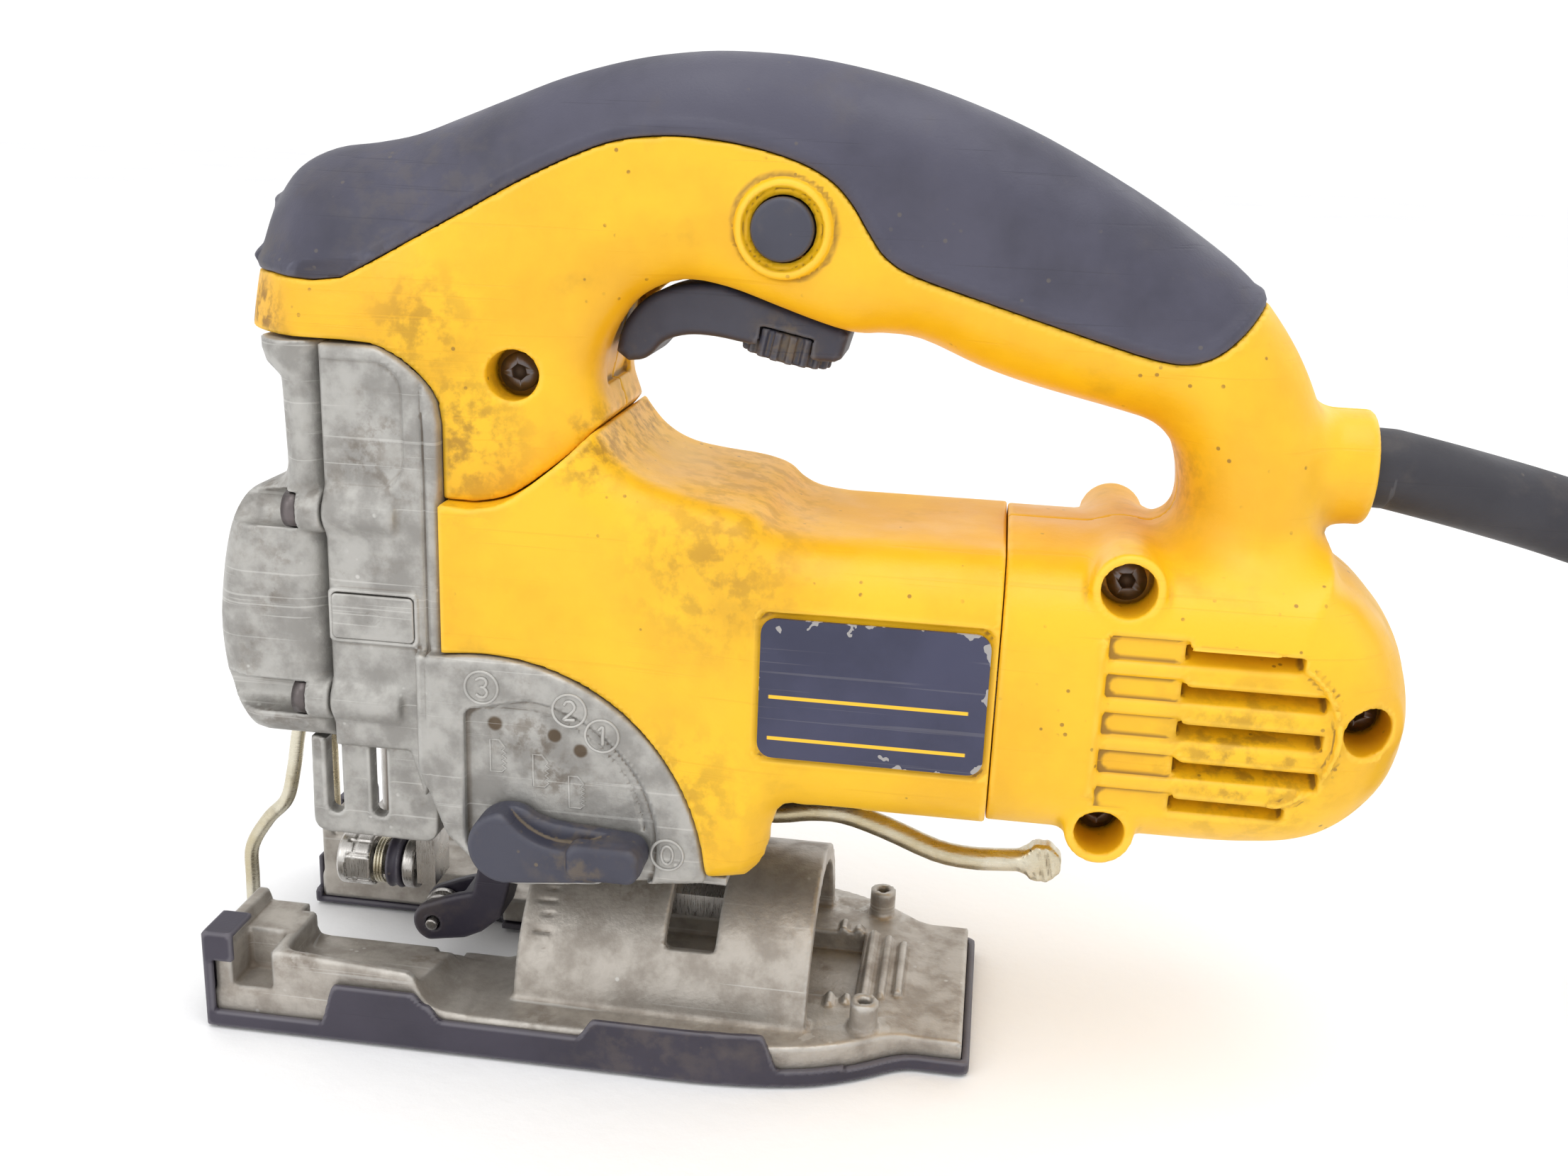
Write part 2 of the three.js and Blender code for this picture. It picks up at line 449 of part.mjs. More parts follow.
// ---------- gear, plunger and blade clamp ----------
const wheel = front(poly(gearWheel(GEAR_TEETH, -Math.PI / 2).map(([y, z]) => [y, z + GEAR_Z])), ...GEAR_X)
  .subtract(barX(0, GEAR_Z, 4, -50, -20));
const crankPin = barX(0, GEAR_Z - CRANK_R, 3.5, -42, -39, 6);
add('drive_gear', wheel.add(crankPin), steel);
add('gear_axle', barX(0, GEAR_Z, 3.7, -41, -26.6), steel);

const yokeZ = GEAR_Z - CRANK_R;
add('plunger', union(barZ(PLUNGER.x, 0, PLUNGER.r, 31, PLUNGER.top),
  inset(-50, -42.4, yokeZ - 6, yokeZ + 6, 18),
  inset(-53, -37.8, PLUNGER.block, 36, 5), inset(-42.4, -38, CLAMP_Z - 3, 34, 4.6),
  barX(0, CLAMP_Z, 3.6, -60.6, -40, 8)), steel);
add('clamp_ring', tubeX(0, CLAMP_Z, 6.3, 3.9, -49.8, -46.2), coverPlastic);
add('clamp_collar_rear', tubeX(0, CLAMP_Z, 6, 3.9, -45.9, -42.8), steel);
add('clamp_spring', tubeX(0, CLAMP_Z, 5.9, 4.2, -53, -50.1), zincSteel);
add('clamp_collar', tubeX(0, CLAMP_Z, 6.4, 3.9, -61.3, -53.3).intersect(union(
  barX(0, CLAMP_Z, 7, -62, -59.4), inset(-62, -50, CLAMP_Z - 6.4, CLAMP_Z + 6.4, 5.6))), steel);
add('plunger_bush_upper', plan(ring(PLUNGER.x, 0, BUSH_R, PLUNGER.r + 0.3), 134.5, 141.8, ROUND), zincSteel);
add('plunger_bush_lower', plan(ring(PLUNGER.x, 0, BUSH_R, PLUNGER.r + 0.3), 62.2, 69, ROUND),
  zincSteel);

// ---------- guide roller and its bracket ----------
const arm = new THREE.Shape().moveTo(-39.5, 5.6).absarc(ROLLER.x, ROLLER.z, 4.8, -1.8, 1.9, true)
  .lineTo(-36, 17).lineTo(-29, 18.5).lineTo(-24, 41).absarc(SWING.x, SWING.z, 4, 2.8, -0.4, true)
  .lineTo(-19, 26).lineTo(-22.5, 13).lineTo(-31, 7.2);
const bracket = side(arm, -6, 6, 4).subtract(box(-60, -31.5, -3.5, 3.5, 0, 30));
add('roller_bracket', cut(bracket, barY(ROLLER.x, ROLLER.z, 1.7, -10, 10, 6))
  .add(barY(SWING.x, SWING.z, 1.9, -11, 11, 6)), coverPlastic);
add('guide_roller', barY(ROLLER.x, ROLLER.z, ROLLER.r, -3.1, 3.1)
  .add(barY(ROLLER.x, ROLLER.z, 1.4, -7.2, 7.2, 6)), steel);

// ---------- orbital lever ----------
const leverArm = new THREE.Shape().moveTo(-11, 39.3).lineTo(14, 42.2)
  .absarc(13.5, 46.4, 4.2, -1.5, 1.6, false).lineTo(-5, 52.2)
  .absarc(LEVER.x, LEVER.z, 7.8, 0.7, 4.7, false);
add('orbital_lever', union(eased(leverArm, -37.5, -29.5, 1, 0, 4),
  eased(roundRect(2, 42.6, 17, 50.2, 2), -39.3, -34, 1, 0, 2),
  barY(LEVER.x, LEVER.z, 4, -31, -16, 8)), charcoal);

// ---------- wire guard ----------
add('wire_guard', rod([[-85, 0, 6], [-84.4, 0, 22], [-80, 0, 29.5], [-75.2, 0, 35], [-73, 0, 43],
  [-71.6, 0, 51], [-70.2, 0, 56], [-67.4, 0, 58.9], [-64.8, 0, 56.6], [-63.9, 0, 51], [-63.8, 0, 44],
  [-63.8, 0, 33]], 1.6, 26, 3), zincSteel);

// ---------- shoe, plastic cover and bevel clamp ----------
const shoeOutline = (grow) => new THREE.Shape().moveTo(SHOE.x0 - grow, -SHOE.halfW - grow)
  .lineTo(28, -SHOE.halfW - grow).splineThru([v2(54, -35 - grow), v2(70 + grow, -26 - grow)])
  .lineTo(SHOE.x1, -25 - grow).lineTo(SHOE.x1, 25 + grow).lineTo(70 + grow, 26 + grow)
  .splineThru([v2(54, 35 + grow), v2(28, SHOE.halfW + grow)]).lineTo(SHOE.x0 - grow, SHOE.halfW + grow);
const forkMouth = (z0, z1) => box(-90, -28, -16, 16, z0, z1).add(box(-40, -14, -12.6, 12.6, z0, z1));
function shoe() {
  let body = plan(shoeOutline(0), SHOE.bottom, SHOE.top, 2);
  for (const s of [-1, 1]) {
    const y = (a, b) => [Math.min(s * a, s * b), Math.max(s * a, s * b)];
    const fork = poly([[SHOE.x0, 3], [SHOE.x0, FORK_Z + 3], [-72, FORK_Z + 3], [-71.6, FORK_Z],
      [-32, FORK_Z - 2], [-27, 9], [-27, 3]]);
    body = body.add(side(fork, ...y(16, 38.5)));
    body = cut(body, box(-71.5, -61.5, ...y(21, 60), 9, 40), box(-59.5, -34, ...y(26, 60), 10.5, 40),
      box(-70.5, -62.5, ...y(10, 25), 9, 14), barX(s * 12.9, 16.9, 7.2, -63, -30, 10),
      box(-33, -26, ...y(15, 19), 9, 40));
    body = body.add(barZ(POST.x, s * POST.y, POST.r, 4, 14.5, 6));
    body = body.subtract(barZ(POST.x, s * POST.y, 1.4, 9, 20, 5));
  }
  const pipe = tubeX(0, BEVEL_Z, TRUNNION.r, TRUNNION.r - TRUNNION.wall, TRUNNION.x0, TRUNNION.x1, 20)
    .intersect(inset(-60, 90, BEVEL_Z, 60, 60));
  body = body.add(pipe).add(box(56, 58, -20, 20, 7, 9.5)).add(box(62, 64, -16, 16, 7, 9.5));
  body = cut(body, forkMouth(-5, 60), inset(TRUNNION.x0 - 1, 60, 5, BEVEL_Z + 20, 14),
    inset(19.6, 30.7, 20, 60, 24));
  return body;
}
add('shoe', biggest(shoe()), shoeAlloy);

function shoeCover() {
  const wallOf = (x0, x1, top) => union(...[-1, 1].map((s) =>
    box(x0, x1, Math.min(s * 38.8, s * 40.2), Math.max(s * 38.8, s * 40.2), 0, top)));
  const sole = plan(shoeOutline(1), 0, SHOE.bottom - GAP, 2);
  let body = union(sole, wallOf(-47.5, -30, 13), wallOf(-30, 8, 7.6), wallOf(8, 43, 11.8));
  for (const s of [-1, 1]) {
    const y = (a, b) => [Math.min(s * a, s * b), Math.max(s * a, s * b)];
    body = body.add(box(CLIP_X, -75.3, ...y(16.5, 40.2), 0, 12))
      .add(box(CLIP_X, -75.3, ...y(30, 40.2), 0, 21.5))
      .add(box(CLIP_X, -50, ...y(38.8, 40.2), 0, 4)).add(box(CLIP_X, -72, ...y(38.8, 40.2), 0, 21.5));
  }
  return cut(body, forkMouth(-5, 10));
}
add('shoe_cover', biggest(shoeCover()), coverPlastic);
add('clamp_plate', cut(barX(0, BEVEL_Z, 25.6, 14, 37, 20).intersect(box(10, 40, -11, 11, 22, 40)),
  barZ(BEVEL_LEVER.x, 0, 3.4, 0, 60, 8)), steel);
add('clamp_bolt', barZ(BEVEL_LEVER.x, 0, 5.2, 18.6, 21.7, 3)
  .add(barZ(BEVEL_LEVER.x, 0, 3, 20, 49, 8)), darkSteel);

const leverRod = rod([[29, 0, 43.4], [39.4, 0, 43.7], [54.4, 0, 45.3], [63.6, 0, 42.5], [75, 0, 38.2],
  [82.5, 0, 37.2], [95, 0, 38]], 2.5, 14, 4);
add('bevel_lever', union(leverRod, barY(98, 38.2, 4.4, -2.6, 2.6, 8),
  cut(barZ(BEVEL_LEVER.x, 0, 7.5, 40.6, 46.6), barZ(BEVEL_LEVER.x, 0, 3.3, 30, 60, 8))), zincSteel);

// ---------- cord ----------
const SLEEVE_END = [214, 0, 115.4];
const sleevePath = [[156, 0, GLAND.z], [160, 0, 129.1], [175, 0, 126], [192, 0, 121.9], SLEEVE_END];
const sleeve = rod(sleevePath, SLEEVE_R, 8, 6).add(barX(0, GLAND.z, SLEEVE_R, 146, 157));
add('cord_sleeve', sleeve, cordRubber);
const cordPoints = [[214.9, 0, 115.1], [221.5, -1.2, 111.4], [229.5, -4.6, 104.3], [235.2, -9, 95.2],
  [238.2, -13.4, 84.5], [239.2, -17, 73], [239.2, -20, 61], [239.2, -22.2, 48], [239.2, -23, 35.2],
  [239.2, -21.9, 27.2], [239.2, -18.9, 19.7], [239.2, -13.9, 13.3], [239.2, -7.5, 8.4], [239.2, -4.6, 6.9]];
add('cord_tube', rod(cordPoints, CORD_R - 0.1, 12, 4), cordRubber);
const coilWall = [[COIL.inner, COIL.z0], [COIL.outer, COIL.z0], [COIL.outer, COIL.top],
  [COIL.inner, COIL.top],
  [COIL.inner, COIL.z0]];
add('cord_coil', turned(coilWall, turnZ(COIL.x, COIL.y, 0), 24), cordRubber);

// A band around the coil, and the two-pin plug lying on it.
const band = (grow, half) => box(COIL.x + COIL.inner - 1.3 - grow, COIL.x + COIL.outer + GAP + grow,
  COIL.y - half, COIL.y + half, COIL.z0 - GAP - grow, COIL.top + GAP + grow);
add('cord_tie', band(0.7, 6).subtract(band(0, 7)), charcoal);
const plugZ = COIL.top + GAP + 7;
const plugY = COIL.y + 42;
add('plug', union(front(roundRect(plugY - 12.5, plugZ - 7, plugY + 12.5, plugZ + 7, 5), 292, 326, 3),
  barX(plugY, plugZ, 5.2, 276, 293, 6), box(325, 342, plugY - 7.8, plugY - 6.2, plugZ - 3.2, plugZ + 3.2),
  box(325, 342, plugY + 6.2, plugY + 7.8, plugZ - 3.2, plugZ + 3.2)), cordRubber);

export default group;
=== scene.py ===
"""The corded jigsaw's looks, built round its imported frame. Shapes are in millimetres, Blender in metres."""
import json
import math

import bmesh
import bpy
import numpy as np
import openvdb
from mathutils import Matrix, Vector


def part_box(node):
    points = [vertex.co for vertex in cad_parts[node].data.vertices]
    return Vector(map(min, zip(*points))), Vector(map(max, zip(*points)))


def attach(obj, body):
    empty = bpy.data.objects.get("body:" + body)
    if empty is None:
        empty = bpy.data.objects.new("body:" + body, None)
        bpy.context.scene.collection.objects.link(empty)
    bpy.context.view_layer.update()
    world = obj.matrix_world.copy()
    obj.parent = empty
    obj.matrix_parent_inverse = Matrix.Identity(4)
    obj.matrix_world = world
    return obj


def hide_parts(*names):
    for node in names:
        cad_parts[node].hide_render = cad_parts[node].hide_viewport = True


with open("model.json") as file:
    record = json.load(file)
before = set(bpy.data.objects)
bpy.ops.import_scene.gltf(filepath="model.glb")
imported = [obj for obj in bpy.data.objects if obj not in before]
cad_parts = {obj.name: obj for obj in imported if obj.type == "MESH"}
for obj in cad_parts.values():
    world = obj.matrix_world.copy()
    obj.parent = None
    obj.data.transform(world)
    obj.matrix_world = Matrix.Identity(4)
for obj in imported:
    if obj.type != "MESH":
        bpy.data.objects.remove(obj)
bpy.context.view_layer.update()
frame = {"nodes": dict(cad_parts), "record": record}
MM = 0.001

# ---------- camera ----------
CAMERA_AT = (79.57, -310.51, 190.11)
CAMERA_RIGHT = Vector((0.98924, 0.14083, 0.03932))
CAMERA_FORWARD = Vector((-0.12364, 0.94921, -0.28932))
LENS = 35.45


def add_camera():
    data = bpy.data.cameras.new("camera")
    data.lens = LENS
    data.sensor_width = 36
    data.clip_start = 0.01
    camera = bpy.data.objects.new("camera", data)
    bpy.context.scene.collection.objects.link(camera)
    back = -CAMERA_FORWARD.normalized()
    right = (CAMERA_RIGHT - back * CAMERA_RIGHT.dot(back)).normalized()
    up = back.cross(right)
    turn = Matrix((right, up, back)).transposed().to_4x4()
    camera.matrix_world = Matrix.Translation(Vector(CAMERA_AT) * MM) @ turn
    bpy.context.scene.camera = camera


# ---------- sculpting with distance fields ----------
# A field is a function of x, y, z arrays (millimetres): negative inside a shape, positive outside.
def spline(points, steps=5):
    """A smooth run through the points, ends included."""
    if len(points) < 3:
        return [tuple(p) for p in points]
    p = [np.array(q, float) for q in points]
    p = [2 * p[0] - p[1], *p, 2 * p[-1] - p[-2]]
    run = []
    for a, b, c, d in zip(p, p[1:], p[2:], p[3:]):
        for i in range(steps):
            t = i / steps
            run.append(0.5 * (2 * b + (c - a) * t + (2 * a - 5 * b + 4 * c - d) * t * t
                              + (3 * b - a - 3 * c + d) * t ** 3))
    return [tuple(q) for q in run] + [tuple(points[-1])]


def arc(cx, cy, r, start, end, steps=10):
    """Points on a circle, angles in degrees."""
    turns = [math.radians(start + (end - start) * i / steps) for i in range(steps + 1)]
    return [(cx + r * math.cos(t), cy + r * math.sin(t)) for t in turns]


def flat_field(points):
    """Distance to a closed outline, in its own two coordinates."""
    loop = [p for i, p in enumerate(points) if math.dist(p, points[i - 1]) > 1e-3]

    def field(u, v):
        best = np.full(np.broadcast(u, v).shape, 1e9)
        inside = np.zeros(best.shape, bool)
        for (ax, ay), (bx, by) in zip(loop, loop[1:] + loop[:1]):
            ex, ey = bx - ax, by - ay
            t = np.clip(((u - ax) * ex + (v - ay) * ey) / (ex * ex + ey * ey), 0, 1)
            best = np.minimum(best, (u - ax - t * ex) ** 2 + (v - ay - t * ey) ** 2)
            if ay != by:
                crosses = ((ay > v) != (by > v)) & (u < ex * (v - ay) / ey + ax)
                inside ^= crosses
        return np.sqrt(best) * np.where(inside, -1, 1)
    return field


def rounded(a, b, r):
    """What two fields share, with the edge between them rounded by r."""
    p, q = a + r, b + r
    return np.minimum(np.maximum(p, q), 0) + np.hypot(np.maximum(p, 0), np.maximum(q, 0)) - r


def join(a, b, k=0.5):
    h = np.clip(0.5 + 0.5 * (b - a) / k, 0, 1)
    return b * (1 - h) + a * h - k * h * (1 - h)


def carve(a, b, k=0.5):
    return -join(-a, b, k)


def ramp(v, low, high):
    t = np.clip((v - low) / (high - low), 0, 1)
    return t * t * (3 - 2 * t)


def slab(v, low, high):
    return np.maximum(low - v, v - high)


def block(x, y, z, xs, ys, zs, r=1.0):
    """A box with rounded edges."""
    d = rounded(slab(x, *xs), slab(y, *ys), r)
    return rounded(d, slab(z, *zs), r)


def bar(u, v, w, cu, cv, radius, ends, r=0.5):
    """A round bar along w."""
    return rounded(np.hypot(u - cu, v - cv) - radius, slab(w, *ends), r)


def rod_field(points, radius):
    """A round rod through 3-D points."""
    def field(x, y, z):
        best = np.full(np.broadcast(x, y, z).shape, 1e9)
        for a, b in zip(points, points[1:]):
            e = [q - p for p, q in zip(a, b)]
            length = sum(c * c for c in e)
            t = np.clip(((x - a[0]) * e[0] + (y - a[1]) * e[1] + (z - a[2]) * e[2]) / length, 0, 1)
            best = np.minimum(best, (x - a[0] - t * e[0]) ** 2 + (y - a[1] - t * e[1]) ** 2
                              + (z - a[2] - t * e[2]) ** 2)
        return np.sqrt(best) - radius
    return field


def sculpt(name, field, low, high, voxel):
    """Meshes a field inside a box and pulls each point on to the true surface."""
    axes = [np.arange(a - 2 * voxel, b + 3 * voxel, voxel) for a, b in zip(low, high)]
    x, y, z = np.ix_(*axes)
    values = np.ascontiguousarray(np.broadcast_to(field(x, y, z), [len(a) for a in axes]), np.float32)
    reach = 3 * voxel
    grid = openvdb.FloatGrid(reach)
    grid.copyFromArray(np.clip(values, -reach, reach))
    points, tris, quads = grid.convertToPolygons(0.0, 0.0)
    points = points * voxel + [a[0] for a in axes]
    low = np.array([a[0] for a in axes])
    slopes = np.gradient(values, voxel)
    for _ in range(2):
        at = np.clip((points - low) / voxel, 0, np.array(values.shape) - 1.001)
        cell = at.astype(int)
        part = at - cell
        slope = np.zeros_like(points)
        for corner in np.ndindex(2, 2, 2):
            weight = np.prod([part[:, k] if c else 1 - part[:, k] for k, c in enumerate(corner)], 0)
            where = tuple((cell + corner).T)
            for k in range(3):
                slope[:, k] += weight * slopes[k][where]
        step = field(*points.T) / np.maximum((slope ** 2).sum(1), 0.3)
        points = points - slope * np.clip(step, -0.4 * voxel, 0.4 * voxel)[:, None]
    mesh = bpy.data.meshes.new(name)
    faces = [tuple(f[::-1]) for f in quads.tolist()] + [tuple(f[::-1]) for f in tris.tolist()]
    mesh.from_pydata((points * MM).tolist(), [], faces)
    return settle(mesh)


def settle(mesh):
    """Keeps the faces pointing out and shades them smooth."""
    bm = bmesh.new()
    bm.from_mesh(mesh)
    bmesh.ops.dissolve_degenerate(bm, dist=1e-7, edges=bm.edges)
    bmesh.ops.recalc_face_normals(bm, faces=bm.faces)
    if bm.calc_volume(signed=True) < 0:
        bmesh.ops.reverse_faces(bm, faces=bm.faces)
    for f in bm.faces:
        f.smooth = True
    bm.to_mesh(mesh)
    bm.free()
    return mesh


def piece(mesh, body, slot, material, *stands_for):
    obj = bpy.data.objects.new(mesh.name, mesh)
    bpy.context.scene.collection.objects.link(obj)
    mesh.materials.clear()
    mesh.materials.append(material)
    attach(obj, body)
    if stands_for:
        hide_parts(*stands_for)
    return obj


def mirrored(mesh, name):
    """The same piece on the tool's other side."""
    twin = mesh.copy()
    twin.name = name
    twin.transform(Matrix.Diagonal((1, -1, 1, 1)))
    return settle(twin)


def sweep(name, points, radius, sides=14):
    """A closed tube along points (mm); radius is a number or a function of the share along it."""
    p = np.array(points, float)
    tangents = np.gradient(p, axis=0)
    tangents /= np.linalg.norm(tangents, axis=1)[:, None]
    run = np.r_[0, np.cumsum(np.linalg.norm(np.diff(p, axis=0), axis=1))]
    side = np.cross(tangents[0], (0.3, 0.2, 1) if abs(tangents[0][2]) < 0.9 else (1, 0.2, 0))
    bm = bmesh.new()
    rings = []
    for i, (q, t) in enumerate(zip(p, tangents)):
        side = side - t * side.dot(t)
        side /= np.linalg.norm(side)
        other = np.cross(t, side)
        r = radius(run[i] / run[-1]) if callable(radius) else radius
        rings.append([bm.verts.new((q + r * (math.cos(a) * side + math.sin(a) * other)) * MM)
                      for a in (2 * math.pi * k / sides for k in range(sides))])
    for a, b in zip(rings, rings[1:]):
        for k in range(sides):
            bm.faces.new((a[k], a[(k + 1) % sides], b[(k + 1) % sides], b[k]))
    bm.faces.new(rings[0])
    bm.faces.new(rings[-1])
    mesh = bpy.data.meshes.new(name)
    bm.to_mesh(mesh)
    bm.free()
    return settle(mesh)


# ---------- cord ----------
SLEEVE = [(147, 0, 129.6), (156, 0, 129.6), (160, 0, 129.1), (175, 0, 126), (192, 0, 121.9), (214, 0, 115.4)]
CORD_START = [(213, 0, 115.7), (217.5, -0.5, 113.8), (221.5, -1.2, 111.4), (229.5, -4.6, 104.3),
    (235.2, -9, 95.2), (238.2, -13.4, 84.5), (239.1, -17, 73), (239.1, -20, 61), (239.1, -22.2, 48),
    (239.1, -23, 35.2), (239.1, -21.9, 27.2), (239.1, -18.9, 19.7), (239.1, -13.9, 13.3),
    (239.1, -7.5, 8.4), (239.1, 0, 5.3), (239.1, 8, 4.3), (239.1, 17, 4.2)]
CORD_END = [(247.7, 32, 20.5), (250.3, 41.5, 22.3), (255, 50, 25), (261.3, 57.3, 28), (268.4, 62.7, 30.4),
            (274, 65.6, 31.5), (279, 67, 31.8)]
CORD_RADIUS = 3.8
COIL = (289, 25)
COLUMNS = (49.9, 42, 34.1)
LAYERS = (4.2, 12.05, 19.9)


def coil_points():
    """Turns lie beside each other, then on each other; each crossing keeps clear of the turn before."""
    across = [(0, 0), (270, 0), (360, 1), (630, 1), (720, 2), (1260, 2), (1350, 1), (1620, 1), (1710, 0),
              (2250, 0), (2340, 1), (2600, 1)]
    upward = [(0, 0), (945, 0), (1035, 1), (1935, 1), (2025, 2), (2600, 2)]

    def along(steps, values, turn):
        for (a, i), (b, j) in zip(steps, steps[1:]):
            if turn <= b:
                return values[i] + (values[j] - values[i]) * float(ramp(turn, a, b) if i != j else 0)
    points = []
    for turn in range(0, 2521, 12):
        angle = math.radians(180 - turn)
        r = along(across, COLUMNS, turn)
        points.append((COIL[0] + r * math.cos(angle), COIL[1] + r * math.sin(angle),
                       along(upward, LAYERS, turn)))
    return points


def relaxed(route, rounds=20, free=48):
    """Evens out the bends outside the coil; the ends and the coil stay where they are."""
    p = np.array(route)
    index = np.arange(len(p))[1:-1, None]
    loose = np.maximum(1 - ramp(index, free - 14, free), ramp(index, len(p) - 25, len(p) - 13)) * 0.5
    for _ in range(rounds):
        p[1:-1] += loose * ((p[:-2] + p[2:]) / 2 - p[1:-1])
    return [tuple(float(c) for c in q) for q in p]


def make_cord(rubber, plug_rubber, brass, strap_plastic):
    route = relaxed(spline([*CORD_START, *coil_points(), *CORD_END], 3))
    cord = piece(sweep("cord", route, CORD_RADIUS), "tool", "cord_rubber", rubber, "cord_tube", "cord_coil")
    thick = 7.85
    sleeve = piece(sweep("cord_protector", spline(SLEEVE, 8),
                         lambda t: thick - 3.4 * float(ramp(t, 0.72, 1.0)) - 0.9 * (t > 0.999), 28),
                   "tool", "cord_rubber", plug_rubber, "cord_sleeve")
    plug_low, plug_high = (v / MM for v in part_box("plug"))
    y, z = (plug_low.y + plug_high.y) / 2, (plug_low.z + plug_high.z) / 2

    def plug_form(px, py, pz):
        width = 12.4 - 5 * ramp(px, 318, 288)
        body = rounded(rounded(np.abs(py - y) - width, np.abs(pz - z) - 6.9, 5), slab(px, 290.5, 325.8), 2)
        boot = np.hypot(py - y, pz - z) - (5.1 - 0.5 * (np.sin(px * 1.9) > 0.2))
        body = join(body, np.maximum(boot, slab(px, 276.2, 294)), 1.2)
        dents = np.abs(np.abs(py - y) - 13.4) - 0.9 - 0.4 * np.cos((px - 306) * 1.6)
        return carve(body, np.maximum(dents, slab(px, 298, 314)), 0.6)

    plug = piece(sculpt("plug_body", plug_form, (275, y - 13, z - 8), (327, y + 13, z + 8), 0.6),
                 "tool", "cord_rubber", plug_rubber, "plug")
    pins = piece(sculpt("plug_pins", lambda px, py, pz: rounded(rounded(
        np.abs(np.abs(py - y) - 7) - 0.75, np.abs(pz - z) - 3.1, 0.4), slab(px, 324, 341.8), 0.7),
        (323, y - 9, z - 4), (343, y + 9, z + 4), 0.35), "tool", "steel", brass)
    tie = piece(sculpt("cord_strap", tie_field, (317, 18, -0.6), (345, 32, 27), 0.45),
                "tool", "charcoal_controls", strap_plastic, "cord_tie")


# ---------- housing shapes seen from the side ----------
MOTOR_Z = 84.6
MOTOR_TOP = 113
MOTOR_LOW = 56.2
MOTOR_HALF_W = 33.5
SEAM_X = 84.7
GLAND = (129.6, 11.3, 153.5)
# each hole's x and z, the depth of its screw's seat, and its radius
SCREW_HOLES = ((-12.7, 140.9, 15, 5.0), (107.5, 109.5, 21, 5.2), (153.6, 85.6, 17, 4.8),
               (106.7, 60.3, 17, 4.8))
HOLE_TOPS = {-12.7: 25, 107.5: 31.4, 153.6: 26.4, 106.7: 31}
LOCK = (38.8, 170.9, 5.9)
SHELL_SEAM = [(-59, 146.35), (-46, 146.25), (-40, 145.9), *spline([(-38.6, 145.6), (-34.4, 143.6),
    (-30.2, 140.4), (-27, 136), (-26.05, 131)], 4), (-26.05, 116.1), *spline([(-20.1, 115.7),
    (-15.3, 116.5), (-11.2, 118.4), (-5.6, 122.7), (-0.4, 127.2), (4.8, 132.8), (9, 137)], 4)]
SHELL_LIMIT = flat_field([(-120, 146.35), *SHELL_SEAM, (20, 141), (SEAM_X + 0.12, 141), (SEAM_X + 0.12, 20),
                          (220, 20), (220, 260), (-120, 260)])
CLAM = flat_field([(-75, 100), *spline([(-73.6, 138), (-72.8, 144), (-71.8, 151), (-70.6, 158),
    (-69.2, 164), (-66.6, 171), (-61.8, 177.6), (-54.5, 181.2), (-45.5, 182.6), (-36.7, 184.5),
    (-27.6, 188), (-17.7, 192), (-6.7, 196.3), (4.9, 199.6), (15, 201.4), (26, 202.2), (41, 201.5),
    (57.3, 198.6), (72.1, 194.3), (86.4, 188.6), (102.8, 180.2), (115.9, 172.3), (125.4, 165.4),
    (132.2, 158), (137.5, 150.4), (141.6, 142.2), (144.5, 134)], 4), (144.8, 117), *spline([(145.2, 114.4),
    (148, 110), (152.8, 106.4), (157.6, 101), (161.4, 93.4), (163, 84), (161.4, 74), (157, 66.5), (151, 61),
    (144, 58), (136, 56.8), (128, 56.3), (116, MOTOR_LOW)], 4), (55, MOTOR_LOW), (55, MOTOR_TOP),
    (103, MOTOR_TOP), *spline([(109, 113.2), (113.6, 114.4), (116.6, 117.6), (117.6, 123), (116.6, 129.4),
    (114.4, 133.8), (110.6, 136.9), (104, 138.8), (88, 142.4), (77, 145.6), (65.1, 150.3), (58, 151.3),
    (51.5, 151.5), (38.5, 155.4), (27, 158.8), (18, 159.6), (10.6, 156.6), (6.4, 151.6), (3.7, 145.5),
    (3, 139), (4.8, 133.2)], 4), (9, 122), (12, 100)])
GRIP_EDGE = spline([(-46, 158), (-38.9, 161.9), (-31.5, 166.2), (-22.8, 171.2), (-11.9, 177.4),
    (-1.5, 182.4), (6.8, 185.4), (16, 186.6), (24.9, 186.3), (34, 184.9), (42, 182.6), (47.6, 179.6),
    (51.5, 175.6), (54.7, 170.8), (58.2, 166.4), (64.3, 163.1), (79.2, 158.7), (99.6, 152.9), (108, 150.7),
    (114.5, 150), (120, 151.9), (124.8, 156), (129.5, 161), (140, 170)], 4)
GRIP_ZONE = flat_field([(-110, 156.6), (-62, 157.8), (-52, 157.2), *GRIP_EDGE, (200, 240), (-110, 240)])


